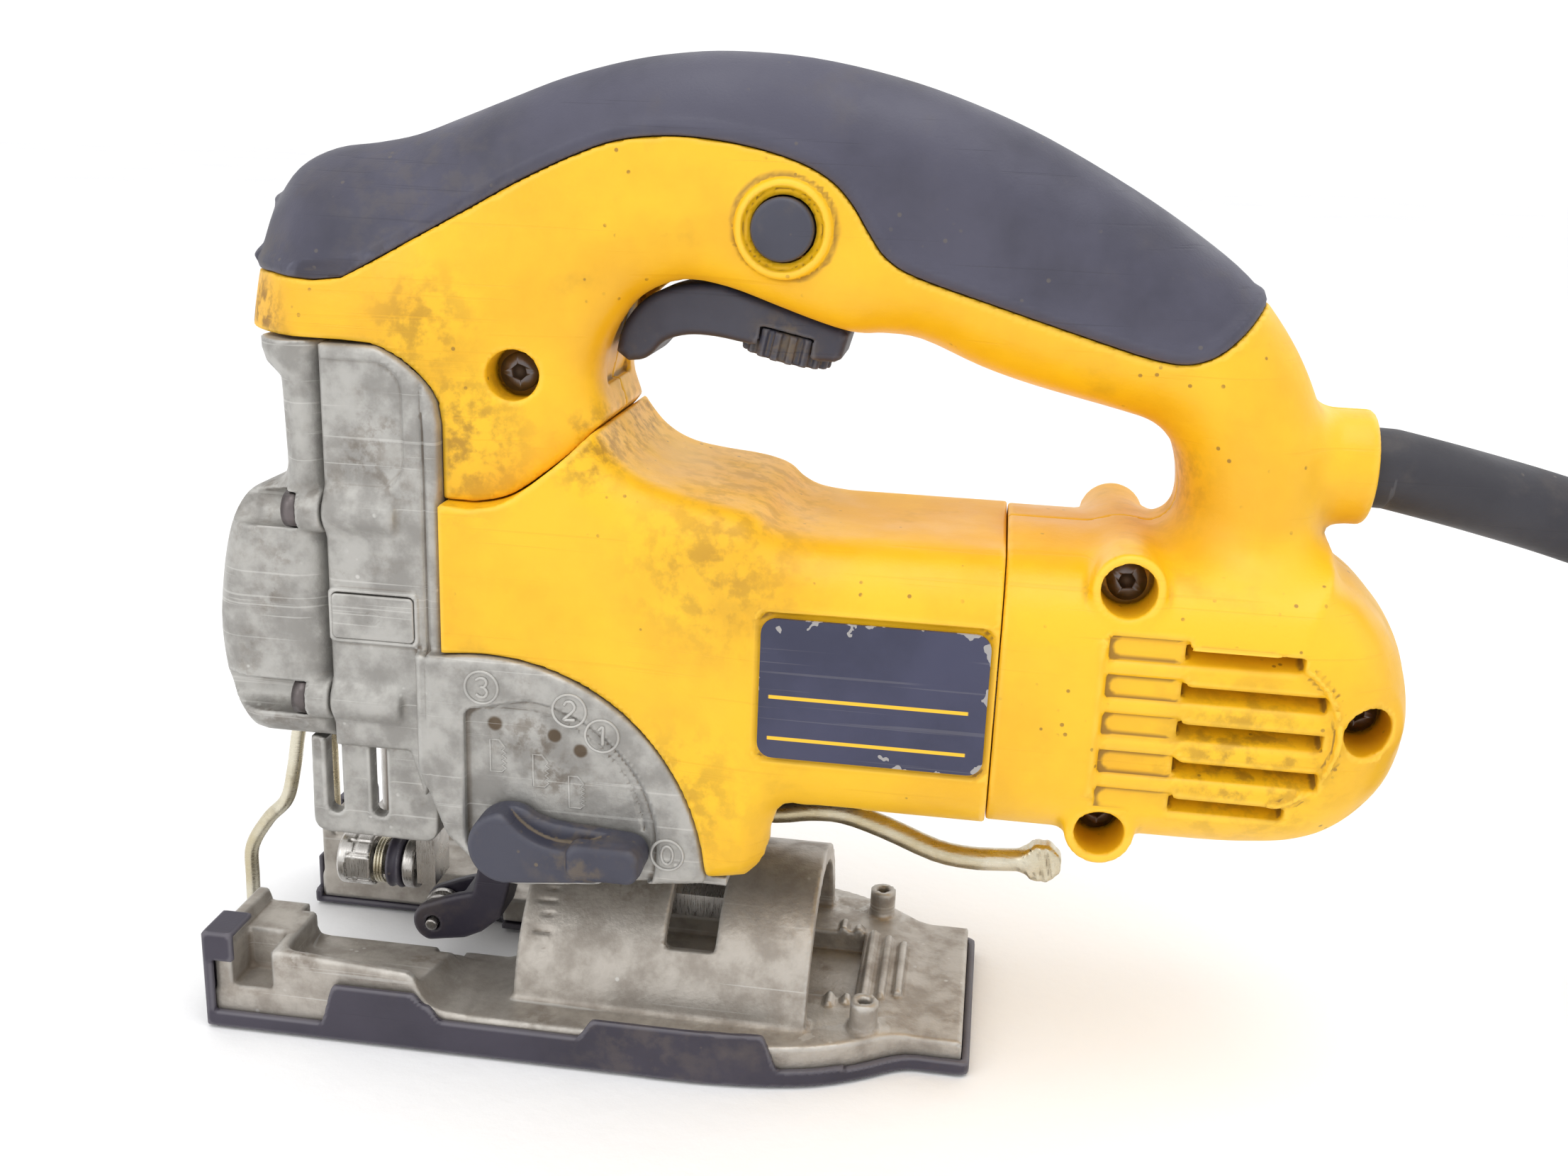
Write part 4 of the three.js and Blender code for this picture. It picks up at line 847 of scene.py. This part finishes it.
# ---------- shoe ----------
SHOE_EDGE = flat_field([(-75, -38.4), (22, -38.4), *spline([(30, -38.3), (38, -37.7), (46, -36.6),
    (54, -34.6), (62, -31), (69, -26.6), (73.4, -25), (78, -24.9)], 4), (83.9, -24.9), (83.9, 24.9),
    *spline([(78, 24.9), (73.4, 25), (69, 26.6), (62, 31), (54, 34.6), (46, 36.6), (38, 37.7), (30, 38.3)],
    4), (22, 38.4), (-75, 38.4)])
FORK = flat_field([(-75, 0), (-75, 21), (-72.4, 21), (-71.4, 18.2), (-60.4, 18.2), (-59.2, 18.1),
    (-32.6, 16.4), *spline([(-31, 15.6), (-29.4, 12), (-27.6, 9.6), (-25, 8.4)], 3), (-20, 8), (-20, 0)])
PIPE_R = 30
POST = (63, 25)


def shoe_field(x, y, z):
    depth = np.abs(y)
    edge = SHOE_EDGE(x, y)
    top = 8.0 - 1.4 * ramp(x, 66, 76)
    body = rounded(edge, np.maximum(1.85 - z, z - top), 0.9)
    fork = rounded(rounded(FORK(x, z), slab(depth, 16.2, 38.4), 0.9), edge, 0.8)
    body = join(body, np.maximum(fork, 1.85 - z), 0.9)
    pocket = rounded(rounded(slab(x, -71, -62), 29.6 - depth, 0.8), 9 - z, 0.8)
    body = carve(body, pocket, 0.4)
    tray = rounded(slab(x, -59.6, -20), slab(depth, 6, 35.8), 2.5)
    tray = rounded(tray, 10.6 + 0.16 * (depth - 16) - z, 1.5)
    body = carve(body, tray, 0.8)
    body = carve(body, block(x, depth, z, (-70.5, -62.5), (5, 26), (9, 14), 0.4), 0.3)
    body = carve(body, np.maximum(np.hypot(depth - 12.9, z - 16.9) - 7.2, slab(x, -63, -30)), 0.4)
    body = carve(body, block(x, depth, z, (-33, -26), (14, 18.6), (9.2, 40), 0.6), 0.6)
    for i in range(5):
        ridge = block(x, depth, z, (53.9 + 3.6 * i, 55.7 + 3.6 * i), (-30, 19 - 1.9 * i), (6, 9), 0.7)
        body = join(body, ridge, 0.5)
    step_back = np.abs(edge + 7.4 + 6 * (x < 48)) - 0.4
    body = carve(body, np.maximum(np.maximum(step_back, 7.4 - z), np.maximum(50 - x, 0)), 0.3)
    boss = rounded(np.hypot(x - POST[0], depth - POST[1]) - 3, slab(z, 3, 14.4), 0.4)
    body = join(body, boss, 1.2)
    body = carve(body, np.maximum(np.hypot(x - POST[0], depth - POST[1]) - 1.5, 9 - z), 0.2)
    r = np.hypot(y, z - 4)
    pipe = rounded(np.maximum(r - PIPE_R, PIPE_R - 4 - r), slab(x, -12, 51), 0.8)
    pipe = np.maximum(pipe, 4 - z)
    body = join(body, pipe, 1.6)
    rim_ring = np.maximum(np.maximum(r - PIPE_R, PIPE_R - 4 - r), slab(x, 48.4, 51))
    body = np.minimum(body, np.maximum(rim_ring, 4 - z))
    for i in range(6):
        tick = np.maximum(np.abs(y + 15 + i * 2.2) - 0.25, slab(x, -9 + (i % 2) * 1.5, -5))
        tick = np.maximum(tick, 10 - z)
        body = carve(body, np.maximum(tick, PIPE_R - 0.45 - r), 0.2)
    body = carve(body, block(x, y, z, (19.6, 30.7), (-24, 24), (20, 60), 0.6), 0.4)
    body = carve(body, block(x, y, z, (-13, 60), (-14, 14), (3, 24), 0.5), 0.3)
    mouth = np.minimum(block(x, y, z, (-90, -28), (-16.1, 16.1), (-9, 60), 2),
                       block(x, y, z, (-60, -14), (-12.6, 12.6), (-9, 60), 5))
    return carve(body, mouth, 0.5)


def shoe_cover_field(x, y, z):
    depth = np.abs(y)
    edge = SHOE_EDGE(x, y)
    body = rounded(edge - 1.1, slab(z, 0.05, 1.5), 0.35)
    wall = np.maximum(0.25 - edge, edge - 1.75)
    top = (3.6 + 9.2 * (ramp(x, -51, -47.4) - ramp(x, -30.6, -24)) + 3.6 * ramp(x, -29, -26)
           + 4.4 * ramp(x, 4.6, 8.6) - 8.1 * ramp(x, 43, 47))
    side_wall = rounded(wall, slab(z, 0.05, top), 0.35)
    side_wall = np.maximum(side_wall, np.maximum(-78 - x, x - 60))
    body = join(body, side_wall, 0.4)
    low_rim = np.maximum(rounded(wall - 0.1, slab(z, 0.05, 3), 0.35), 20 - x)
    body = join(body, low_rim, 0.3)
    clip = rounded(rounded(slab(x, -76.3, -75.25), slab(depth, 17, 40.1), 0.4),
                   slab(z, 0.05, 12 + 9.4 * ramp(depth, 27, 31)), 0.4)
    corner = rounded(rounded(slab(depth, 38.75, 40.15), slab(x, -76.3, -74.4), 0.4), slab(z, 0.05, 21.4), 0.4)
    hook = rounded(rounded(slab(x, -76.3, -69.6), slab(depth, 30, 40.15), 0.8), slab(z, 21.1, 22.3), 0.5)
    cap = rounded(rounded(slab(x, -76.3, -69.6), slab(depth, 38.75, 40.15), 0.4), slab(z, 15.6, 22.2), 0.6)
    body = np.minimum(np.minimum(body, clip), np.minimum(np.minimum(corner, cap), hook))
    mouth = np.minimum(block(x, y, z, (-90, -28), (-15.4, 15.4), (-9, 60), 2),
                       block(x, y, z, (-60, -14), (-12, 12), (-9, 60), 5))
    return carve(body, mouth, 0.3)


def bevel_lever_field(x, y, z):
    rod = rod_field(spline(BEVEL_ROD, 3), 2.5)(x, y, z)
    px, pz = x - BEVEL_KNOB[0], z - BEVEL_KNOB[1]
    knurl = 0.22 * np.sin(x * 3.6 + z * 0.8) * (np.abs(y) > 1.6)
    edge = np.hypot(px, pz) - 4.35 + 0.12 * np.cos(8 * np.arctan2(pz, px))
    knob = rounded(edge, np.abs(y) - 2.3 - knurl, 0.9)
    hub = rounded(np.hypot(x - BEVEL_PIVOT_X, y) - 7.4, slab(z, 40.7, 46.5), 0.8)
    body = join(join(rod, knob, 1.5), hub, 1.2)
    return carve(body, np.hypot(x - BEVEL_PIVOT_X, y) - 3.35, 0.2)


# ---------- floor and light ----------
def add_floor(material):
    bm = bmesh.new()
    bmesh.ops.create_grid(bm, x_segments=1, y_segments=1, size=6)
    mesh = bpy.data.meshes.new("floor")
    bm.to_mesh(mesh)
    bm.free()
    mesh.transform(Matrix.Translation((0, 0, -0.0006)))
    mesh.materials.append(material)
    floor = bpy.data.objects.new("floor", mesh)
    bpy.context.scene.collection.objects.link(floor)


def add_lamp(name, at, aim, size, watts):
    data = bpy.data.lights.new(name, "AREA")
    data.size = size
    data.energy = watts
    lamp = bpy.data.objects.new(name, data)
    bpy.context.scene.collection.objects.link(lamp)
    lamp.location = at
    lamp.rotation_euler = (Vector(aim) - Vector(at)).to_track_quat("-Z", "Y").to_euler()


def add_light():
    world = bpy.data.worlds.new("studio")
    bpy.context.scene.world = world
    world.use_nodes = True
    world.node_tree.nodes["Background"].inputs["Color"].default_value = (1, 1, 1, 1)
    world.node_tree.nodes["Background"].inputs["Strength"].default_value = 1.1
    bpy.context.scene.view_settings.view_transform = "Standard"
    add_lamp("top_light", (0.15, -0.35, 1.5), (0.05, 0, 0.1), 1.2, 7)
    add_lamp("front_light", (-0.9, -1.3, 0.9), (0.05, 0, 0.1), 0.9, 3.5)
    add_lamp("rear_light", (0.9, 0.9, 0.9), (0.05, 0, 0.1), 0.9, 2)


# ---------- finishes ----------
# Every finish is noise on the piece's own coordinates: colour, stains, scratches, edge wear, painted sheen on
# edges, grain.
class Finish:
    def __init__(self, name):
        self.material = bpy.data.materials.new(name)
        self.material.use_nodes = True
        self.tree = self.material.node_tree
        self.shader = self.tree.nodes["Principled BSDF"]
        self.here = self.node("ShaderNodeTexCoord").outputs["Object"]
        self.pointed = self.node("ShaderNodeNewGeometry").outputs["Pointiness"]

    def node(self, kind, **settings):
        made = self.tree.nodes.new(kind)
        for key, value in settings.items():
            setattr(made, key, value)
        return made

    def put(self, socket, value):
        if isinstance(value, bpy.types.NodeSocket):
            self.tree.links.new(value, socket)
        elif socket.type == "RGBA":
            socket.default_value = (*value, 1)
        else:
            socket.default_value = value

    def noise(self, scale, detail=4.0, stretch=(1, 1, 1), turn=0.0, shift=0.0):
        place = self.node("ShaderNodeMapping")
        self.put(place.inputs["Vector"], self.here)
        self.put(place.inputs["Scale"], stretch)
        self.put(place.inputs["Rotation"], (0, turn, 0))
        self.put(place.inputs["Location"], (shift, shift, shift))
        made = self.node("ShaderNodeTexNoise")
        self.put(made.inputs["Vector"], place.outputs["Vector"])
        self.put(made.inputs["Scale"], scale)
        self.put(made.inputs["Detail"], detail)
        self.put(made.inputs["Roughness"], 0.6)
        return made.outputs["Fac"]

    def dots(self, scale):
        made = self.node("ShaderNodeTexVoronoi")
        self.put(made.inputs["Vector"], self.here)
        self.put(made.inputs["Scale"], scale)
        return made.outputs["Distance"]

    def remap(self, value, low, high, start=0.0, end=1.0):
        made = self.node("ShaderNodeMapRange", interpolation_type="SMOOTHSTEP")
        for socket, number in zip(made.inputs[:5], (value, low, high, start, end)):
            self.put(socket, number)
        return made.outputs["Result"]

    def fold(self, operation, *values):
        total = values[0]
        for value in values[1:]:
            made = self.node("ShaderNodeMath", operation=operation)
            self.put(made.inputs[0], total)
            self.put(made.inputs[1], value)
            total = made.outputs["Value"]
        return total

    def times(self, *values):
        return self.fold("MULTIPLY", *values)

    def most(self, *values):
        return self.fold("MAXIMUM", *values)

    def plus(self, *values):
        return self.fold("ADD", *values)

    def minus(self, *values):
        return self.fold("SUBTRACT", *values)

    def blend(self, amount, low, high):
        made = self.node("ShaderNodeMix", data_type="RGBA")
        self.put(made.inputs[0], amount)
        self.put(made.inputs[6], low)
        self.put(made.inputs[7], high)
        return made.outputs[2]

    def axes(self):
        made = self.node("ShaderNodeSeparateXYZ")
        self.put(made.inputs["Vector"], self.here)
        return made.outputs

    def spot(self, x, z, radius, soft=0.6):
        """One on the near side around x, z (mm), fading out at the radius."""
        px, _, pz = self.axes()
        across = self.fold("POWER", self.minus(px, x * MM), 2)
        upward = self.fold("POWER", self.minus(pz, z * MM), 2)
        away = self.fold("POWER", self.plus(across, upward), 0.5)
        return self.remap(away, radius * (1 - soft) * MM, radius * MM, 1.0, 0.0)

    def scratches(self, turns=(0.5, -0.9), limit=0.665):
        """Fine straight marks in two directions."""
        lines = [self.remap(self.noise(9, 2, (1, 6, 90), turn, 3.0 * i), limit, limit + 0.035)
                 for i, turn in enumerate(turns)]
        return self.most(*lines)

    def finish(self, color, rough, height, depth, metal=0.0):
        self.put(self.shader.inputs["Base Color"], color)
        self.put(self.shader.inputs["Roughness"], rough)
        self.put(self.shader.inputs["Metallic"], metal)
        bump = self.node("ShaderNodeBump")
        self.put(bump.inputs["Height"], height)
        self.put(bump.inputs["Distance"], depth * MM)
        self.put(bump.inputs["Strength"], 0.8)
        self.put(self.shader.inputs["Normal"], bump.outputs["Normal"])
        return self.material


def moulded(name, light, dark, stain, rough, stains=0.35, spots=(), grain=1500, depth=0.05, edge_wear_and_sheen=None):
    """Moulded plastic or rubber: uneven colour, dirt in the creases, specks, scratches, lighter edges that
    are partly wear and partly painted sheen, fine grain.
    """
    f = Finish(name)
    color = f.blend(f.remap(f.noise(22, 5), 0.38, 0.66), light, dark)
    cloud = f.remap(f.noise(55, 8, shift=2.0), 0.56, 0.74)
    dirty = f.times(cloud, stains)
    for x, z, radius, amount in spots:
        blot = f.times(f.spot(x, z, radius, 0.9), f.remap(f.noise(240, 9, shift=x), 0.42, 0.62), amount)
        dirty = f.most(dirty, blot)
    crease = f.times(f.remap(f.pointed, 0.488, 0.455), 0.75)
    dirty = f.most(dirty, crease)
    speck = f.times(f.remap(f.dots(330), 0.10, 0.17, 1.0, 0.0),
                    f.remap(f.noise(70, 3, shift=7.0), 0.56, 0.62), 0.7)
    color = f.blend(f.most(dirty, speck), color, stain)
    marks = f.scratches()
    color = f.blend(f.times(marks, 0.35), color, dark)
    if edge_wear_and_sheen:
        # Convex edges made lighter in colour: partly wear, partly a painted sheen (as on the grip).
        color = f.blend(f.times(f.remap(f.pointed, 0.515, 0.56), 0.55), color, edge_wear_and_sheen)
    shine = f.plus(f.remap(f.noise(45, 6, shift=5.0), 0.35, 0.65, rough - 0.07, rough + 0.1),
                   f.times(dirty, 0.2))
    height = f.minus(f.noise(grain, 2), f.times(marks, 0.6))
    return f.finish(color, shine, height, depth)


def cast_metal(name, light, dark, stain, rough, rust=()):
    """Sand-dull cast alloy: mottled, stained, with bright worn edges."""
    f = Finish(name)
    mottle = f.remap(f.noise(130, 9), 0.36, 0.66)
    color = f.blend(mottle, light, dark)
    patch = f.times(f.remap(f.noise(38, 7, shift=4.0), 0.52, 0.72), f.remap(f.noise(420, 4), 0.4, 0.6), 0.6)
    crease = f.times(f.remap(f.pointed, 0.485, 0.44), 0.6)
    dirty = f.most(patch, crease)
    for x, z, radius in rust:
        dirty = f.most(dirty, f.times(f.spot(x, z, radius, 0.4), 0.9))
    color = f.blend(dirty, color, stain)
    pale = f.times(f.remap(f.dots(260), 0.07, 0.16, 1.0, 0.0),
                   f.remap(f.noise(60, 3, shift=9.0), 0.55, 0.62), 0.7)
    marks = f.most(f.scratches((0.2, 1.3), 0.655), f.remap(f.pointed, 0.52, 0.57))
    color = f.blend(f.most(f.times(marks, 0.4), pale), color, (0.62, 0.61, 0.58))
    shine = f.plus(f.remap(mottle, 0, 1, rough - 0.06, rough + 0.08), f.times(dirty, 0.25))
    height = f.plus(f.noise(900, 4), f.times(f.noise(260, 3, shift=1.0), 0.7))
    return f.finish(color, shine, height, 0.13, 0.6)


def bare_metal(name, light, dark, rough, stretch=(1, 1, 1), metal=0.95, stain=(0.09, 0.055, 0.03)):
    """Turned, rolled or plated metal: tool marks one way, tarnish and a little grime."""
    f = Finish(name)
    color = f.blend(f.remap(f.noise(60, 6), 0.35, 0.65), light, dark)
    crease = f.times(f.remap(f.pointed, 0.485, 0.44), 0.8)
    grime = f.most(crease, f.times(f.remap(f.noise(150, 7, shift=3.0), 0.6, 0.75), 0.4))
    color = f.blend(grime, color, stain)
    lines = f.noise(380, 3, stretch)
    shine = f.plus(f.remap(lines, 0.3, 0.7, rough - 0.08, rough + 0.12), f.times(grime, 0.3))
    return f.finish(color, shine, lines, 0.04, metal)


def label(name):
    """Dark printed film with two thin rules, chipped at its border."""
    f = Finish(name)
    px, _, pz = f.axes()
    color = f.blend(f.remap(f.noise(40, 6), 0.35, 0.65), (0.024, 0.026, 0.06), (0.038, 0.04, 0.085))
    along = f.times(f.remap(px, 41.3 * MM, 41.6 * MM), f.remap(px, 79.6 * MM, 79.9 * MM, 1.0, 0.0))
    for level in (83.9, 75.4):
        off = f.fold("ABSOLUTE", f.minus(pz, level * MM), 0)
        rule = f.times(f.remap(off, 0.3 * MM, 0.42 * MM, 1.0, 0.0), along)
        color = f.blend(rule, color, (0.86, 0.50, 0.02))
    border = f.fold("MINIMUM", f.minus(px, 39.5 * MM), f.minus(83.2 * MM, px),
                    f.minus(pz, 71.3 * MM), f.minus(99.7 * MM, pz))
    chipped = f.fold("GREATER_THAN", f.remap(f.noise(170, 3, shift=6.0), 0.54, 0.74, 0.0, 3.4 * MM), border)
    marks = f.scratches((0.4, -0.3), 0.66)
    color = f.blend(f.most(f.times(chipped, 0.8), f.times(marks, 0.1)), color, (0.40, 0.38, 0.36))
    shine = f.remap(f.noise(90, 5), 0.3, 0.7, 0.28, 0.48)
    return f.finish(color, shine, f.minus(f.noise(700, 2), chipped), 0.03)


def floor_sheet(name):
    f = Finish(name)
    color = f.blend(f.remap(f.noise(3, 4), 0.3, 0.7), (0.93, 0.93, 0.93), (0.89, 0.89, 0.90))
    return f.finish(color, f.remap(f.noise(5, 3), 0.3, 0.7, 0.6, 0.75), f.noise(160, 4), 0.3)


paper = floor_sheet("pale_floor")
yellow = moulded("yellow_plastic", (0.88, 0.50, 0.008), (0.77, 0.40, 0.005), (0.17, 0.078, 0.012), 0.42, 0.2,
                 ((-66, 150, 12, 0.85), (-24, 128, 22, 0.6), (-30, 150, 16, 0.45), (30, 108, 26, 0.4),
                  (132, 78, 24, 0.55), (24, 60, 22, 0.35), (4, 128, 12, 0.6), (112, 126, 14, 0.5)),
                 1300, 0.05, (0.95, 0.58, 0.05))
# The grip's last colour lightens its convex edges: a painted sheen.
grip_rubber = moulded("grip_rubber", (0.062, 0.060, 0.092), (0.036, 0.035, 0.056), (0.11, 0.095, 0.085),
    0.5, 0.3, ((-66, 160, 14, 0.5), (-30, 172, 30, 0.35)), 1900, 0.07, (0.12, 0.12, 0.16))
controls = moulded("charcoal_plastic", (0.045, 0.046, 0.068), (0.028, 0.028, 0.045), (0.16, 0.12, 0.07),
    0.48, 0.35, ((5, 46, 12, 0.5), (38, 147, 10, 0.7)), 1500, 0.05, (0.13, 0.13, 0.15))
cast = cast_metal("cast_alloy", (0.43, 0.42, 0.395), (0.29, 0.28, 0.262), (0.115, 0.078, 0.045), 0.5,
                  ((-15, 70.9, 1.9), (-2.6, 69.4, 1.8), (2.8, 66.6, 1.8)))
shoe_cast = cast_metal("shoe_alloy", (0.46, 0.425, 0.38), (0.32, 0.287, 0.25), (0.14, 0.098, 0.06), 0.48)
cover = moulded("shoe_cover_plastic", (0.040, 0.034, 0.052), (0.024, 0.020, 0.034), (0.15, 0.12, 0.09),
    0.45, 0.35, ((20, 4, 26, 0.25),), 1300, 0.05, (0.16, 0.15, 0.17))
zinc = bare_metal("yellow_zinc_steel", (0.66, 0.62, 0.50), (0.50, 0.43, 0.28), 0.3, (1, 1, 8))
steel = bare_metal("bright_steel", (0.62, 0.60, 0.57), (0.40, 0.38, 0.36), 0.3, (12, 1, 1))
dark_steel = bare_metal("dark_steel", (0.16, 0.14, 0.14), (0.09, 0.08, 0.075), 0.4, (1, 8, 1))
brass = bare_metal("pale_brass", (0.70, 0.62, 0.42), (0.56, 0.46, 0.28), 0.28, (10, 1, 1))
copper = bare_metal("copper_bars", (0.72, 0.33, 0.15), (0.45, 0.18, 0.08), 0.33, (1, 9, 9))
film = label("label_film")
rubber = moulded("cord_rubber_skin", (0.032, 0.031, 0.040), (0.022, 0.021, 0.028), (0.12, 0.10, 0.085),
    0.55, 0.35, (), 1200, 0.06, (0.08, 0.08, 0.09))

SLOT_LOOK = {"yellow_housing": yellow, "soft_grip": grip_rubber, "charcoal_controls": controls,
             "cast_alloy": cast, "shoe_alloy": shoe_cast, "cover_plastic": cover, "zinc_steel": zinc,
             "steel": steel, "dark_steel": dark_steel, "copper": copper, "label_film": film,
             "cord_rubber": rubber}


# ---------- making every piece ----------
# Each row: name, field, low corner, high corner, voxel, body, slot, the node that it stands for.
HALF_LOW, HALF_HIGH = (-77, -35.5, 46), (170, 0.5, 206)
GRIP_LOW, GRIP_HIGH = (-77, -22, 146), (146, 0.5, 206)
CASTINGS = (
    ("gear_housing", gear_case_field, (-59, -33, 34), (31, 33, 147), 0.78, "tool", "cast_alloy", "gear_case"),
    ("gear_housing_cover", case_cover_field, (-78, -30, 60), (-48, 30, 147), 0.7,
     "tool", "cast_alloy", "gear_case_cover"),
    ("access_cover", access_plug_field, (-50, -30, 85), (-30.5, -27.5, 97), 0.25,
     "tool", "cast_alloy", "access_plug"),
)
CONTROLS = (
    ("trigger_lever", trigger_field, (2, -10, 141), (53, 10, 161), 0.5,
     "trigger", "charcoal_controls", "trigger"),
    ("dial_wheel", dial_field, (27, -10, 141), (49, 10, 154), 0.32,
     "speed_dial", "charcoal_controls", "speed_dial"),
    ("lock_on_button", lock_field, (32, -24, 164), (46, -13, 178), 0.4,
     "lock_button", "charcoal_controls", "lock_button"),
    ("orbit_lever", lever_field, (-20, -40, 38), (19, -15, 56), 0.5,
     "orbital_lever", "charcoal_controls", "orbital_lever"),
)
CLAMP = (
    ("clamp_sleeve", collar_field, (-63, -7.5, 14), (-52, 7.5, 30), 0.35,
     "clamp_collar", "steel", "clamp_collar"),
    ("clamp_rubber_ring", clamp_ring_field, (-51, -7, 15), (-45, 7, 30), 0.35,
     "plunger", "cover_plastic", "clamp_ring"),
    ("clamp_washer", clamp_washer_field, (-47, -7, 15), (-41, 7, 30), 0.35,
     "plunger", "steel", "clamp_collar_rear"),
)
ROLLER_AND_SHOE = (
    ("roller_fork", roller_arm_field, (-45, -12, 4), (-14, 12, 50), 0.5,
     "roller_bracket", "cover_plastic", "roller_bracket"),
    ("blade_roller", roller_field, (-45, -8, 4), (-32, 8, 17), 0.4,
     "guide_roller", "steel", "guide_roller"),
    ("sole_casting", shoe_field, (-77, -40, 0), (86, 40, 36), 0.8,
     "shoe", "shoe_alloy", "shoe"),
    ("sole_cover", shoe_cover_field, (-78, -41, -0.5), (86, 41, 24), 0.6,
     "shoe", "cover_plastic", "shoe_cover"),
    ("bevel_clamp_lever", bevel_lever_field, (16, -9, 32), (104, 9, 49), 0.6,
     "bevel_lever", "zinc_steel", "bevel_lever"),
)


def make_rows(rows):
    for name, field, low, high, voxel, body, slot, node in rows:
        piece(sculpt(name, field, low, high, voxel), body, slot, SLOT_LOOK[slot], node)


def make_housing():
    left = sculpt("handle_half_left", shell_field, HALF_LOW, HALF_HIGH, 0.9)
    piece(left, "tool", "yellow_housing", yellow, "handle_shell_left")
    right = sculpt("right", lambda x, y, z: shell_field(x, y, z, False), HALF_LOW, HALF_HIGH, 0.9)
    piece(mirrored(right, "handle_half_right"), "tool", "yellow_housing", yellow, "handle_shell_right")
    grip = sculpt("grip_half_left", grip_field, GRIP_LOW, GRIP_HIGH, 0.8)
    piece(grip, "tool", "soft_grip", grip_rubber, "grip_left")
    piece(mirrored(grip, "grip_half_right"), "tool", "soft_grip", grip_rubber, "grip_right")
    casing = sculpt("motor_casing", field_case_field, (-28, -35, 40), (86, 35, 134), 0.9)
    piece(casing, "tool", "yellow_housing", yellow, "field_case")


def make_screws():
    places = [(-58.1, s * COVER_SCREW_Y, z) for z in COVER_SCREW_LEVELS for s in (-1, 1)]
    front = screws("cover_screws", places, (0, -math.pi / 2, 0), (3.75, 2.75), (1.85, 15.9), 1.7,
        dark_steel, 7)
    piece(front, "tool", "dark_steel", dark_steel, "cover_screw_upper_left", "cover_screw_upper_right",
          "cover_screw_lower_left", "cover_screw_lower_right")
    heads = [(hx, -seat - 3.1, hz) for hx, hz, seat, _ in SCREW_HOLES]
    side = screws("housing_screws", heads, (math.pi / 2, 0, 0), (3.75, 2.75), (1.65, 26), 1.7, dark_steel, 3)
    piece(side, "tool", "dark_steel", dark_steel, "handle_screw_front", "handle_screw_upper_rear",
          "handle_screw_end", "handle_screw_lower_rear")


def make_wires():
    piece(sweep("guard_wire", spline(GUARD, 8), 1.6, 20), "tool", "zinc_steel", zinc, "wire_guard")
    piece(coil_spring("clamp_coil", -52.6, CLAMP_Z, 5.1, 0.36, 2.0, 2.6, zinc),
          "plunger", "zinc_steel", zinc, "clamp_spring")


def dress_kept_nodes():
    """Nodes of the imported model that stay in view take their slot's finish."""
    for row in frame["record"]["subparts"]:
        node = frame["nodes"][row["node"]]
        node.data.materials.clear()
        node.data.materials.append(SLOT_LOOK[row["material_slot"]])


add_camera()
add_light()
add_floor(paper)
make_cord(rubber, rubber, brass, controls)
make_housing()
make_rows(CASTINGS)
piece(setting_marks(), "tool", "cast_alloy", cast)
make_screws()
make_rows(CONTROLS)
make_rows(CLAMP)
make_wires()
make_rows(ROLLER_AND_SHOE)
dress_kept_nodes()
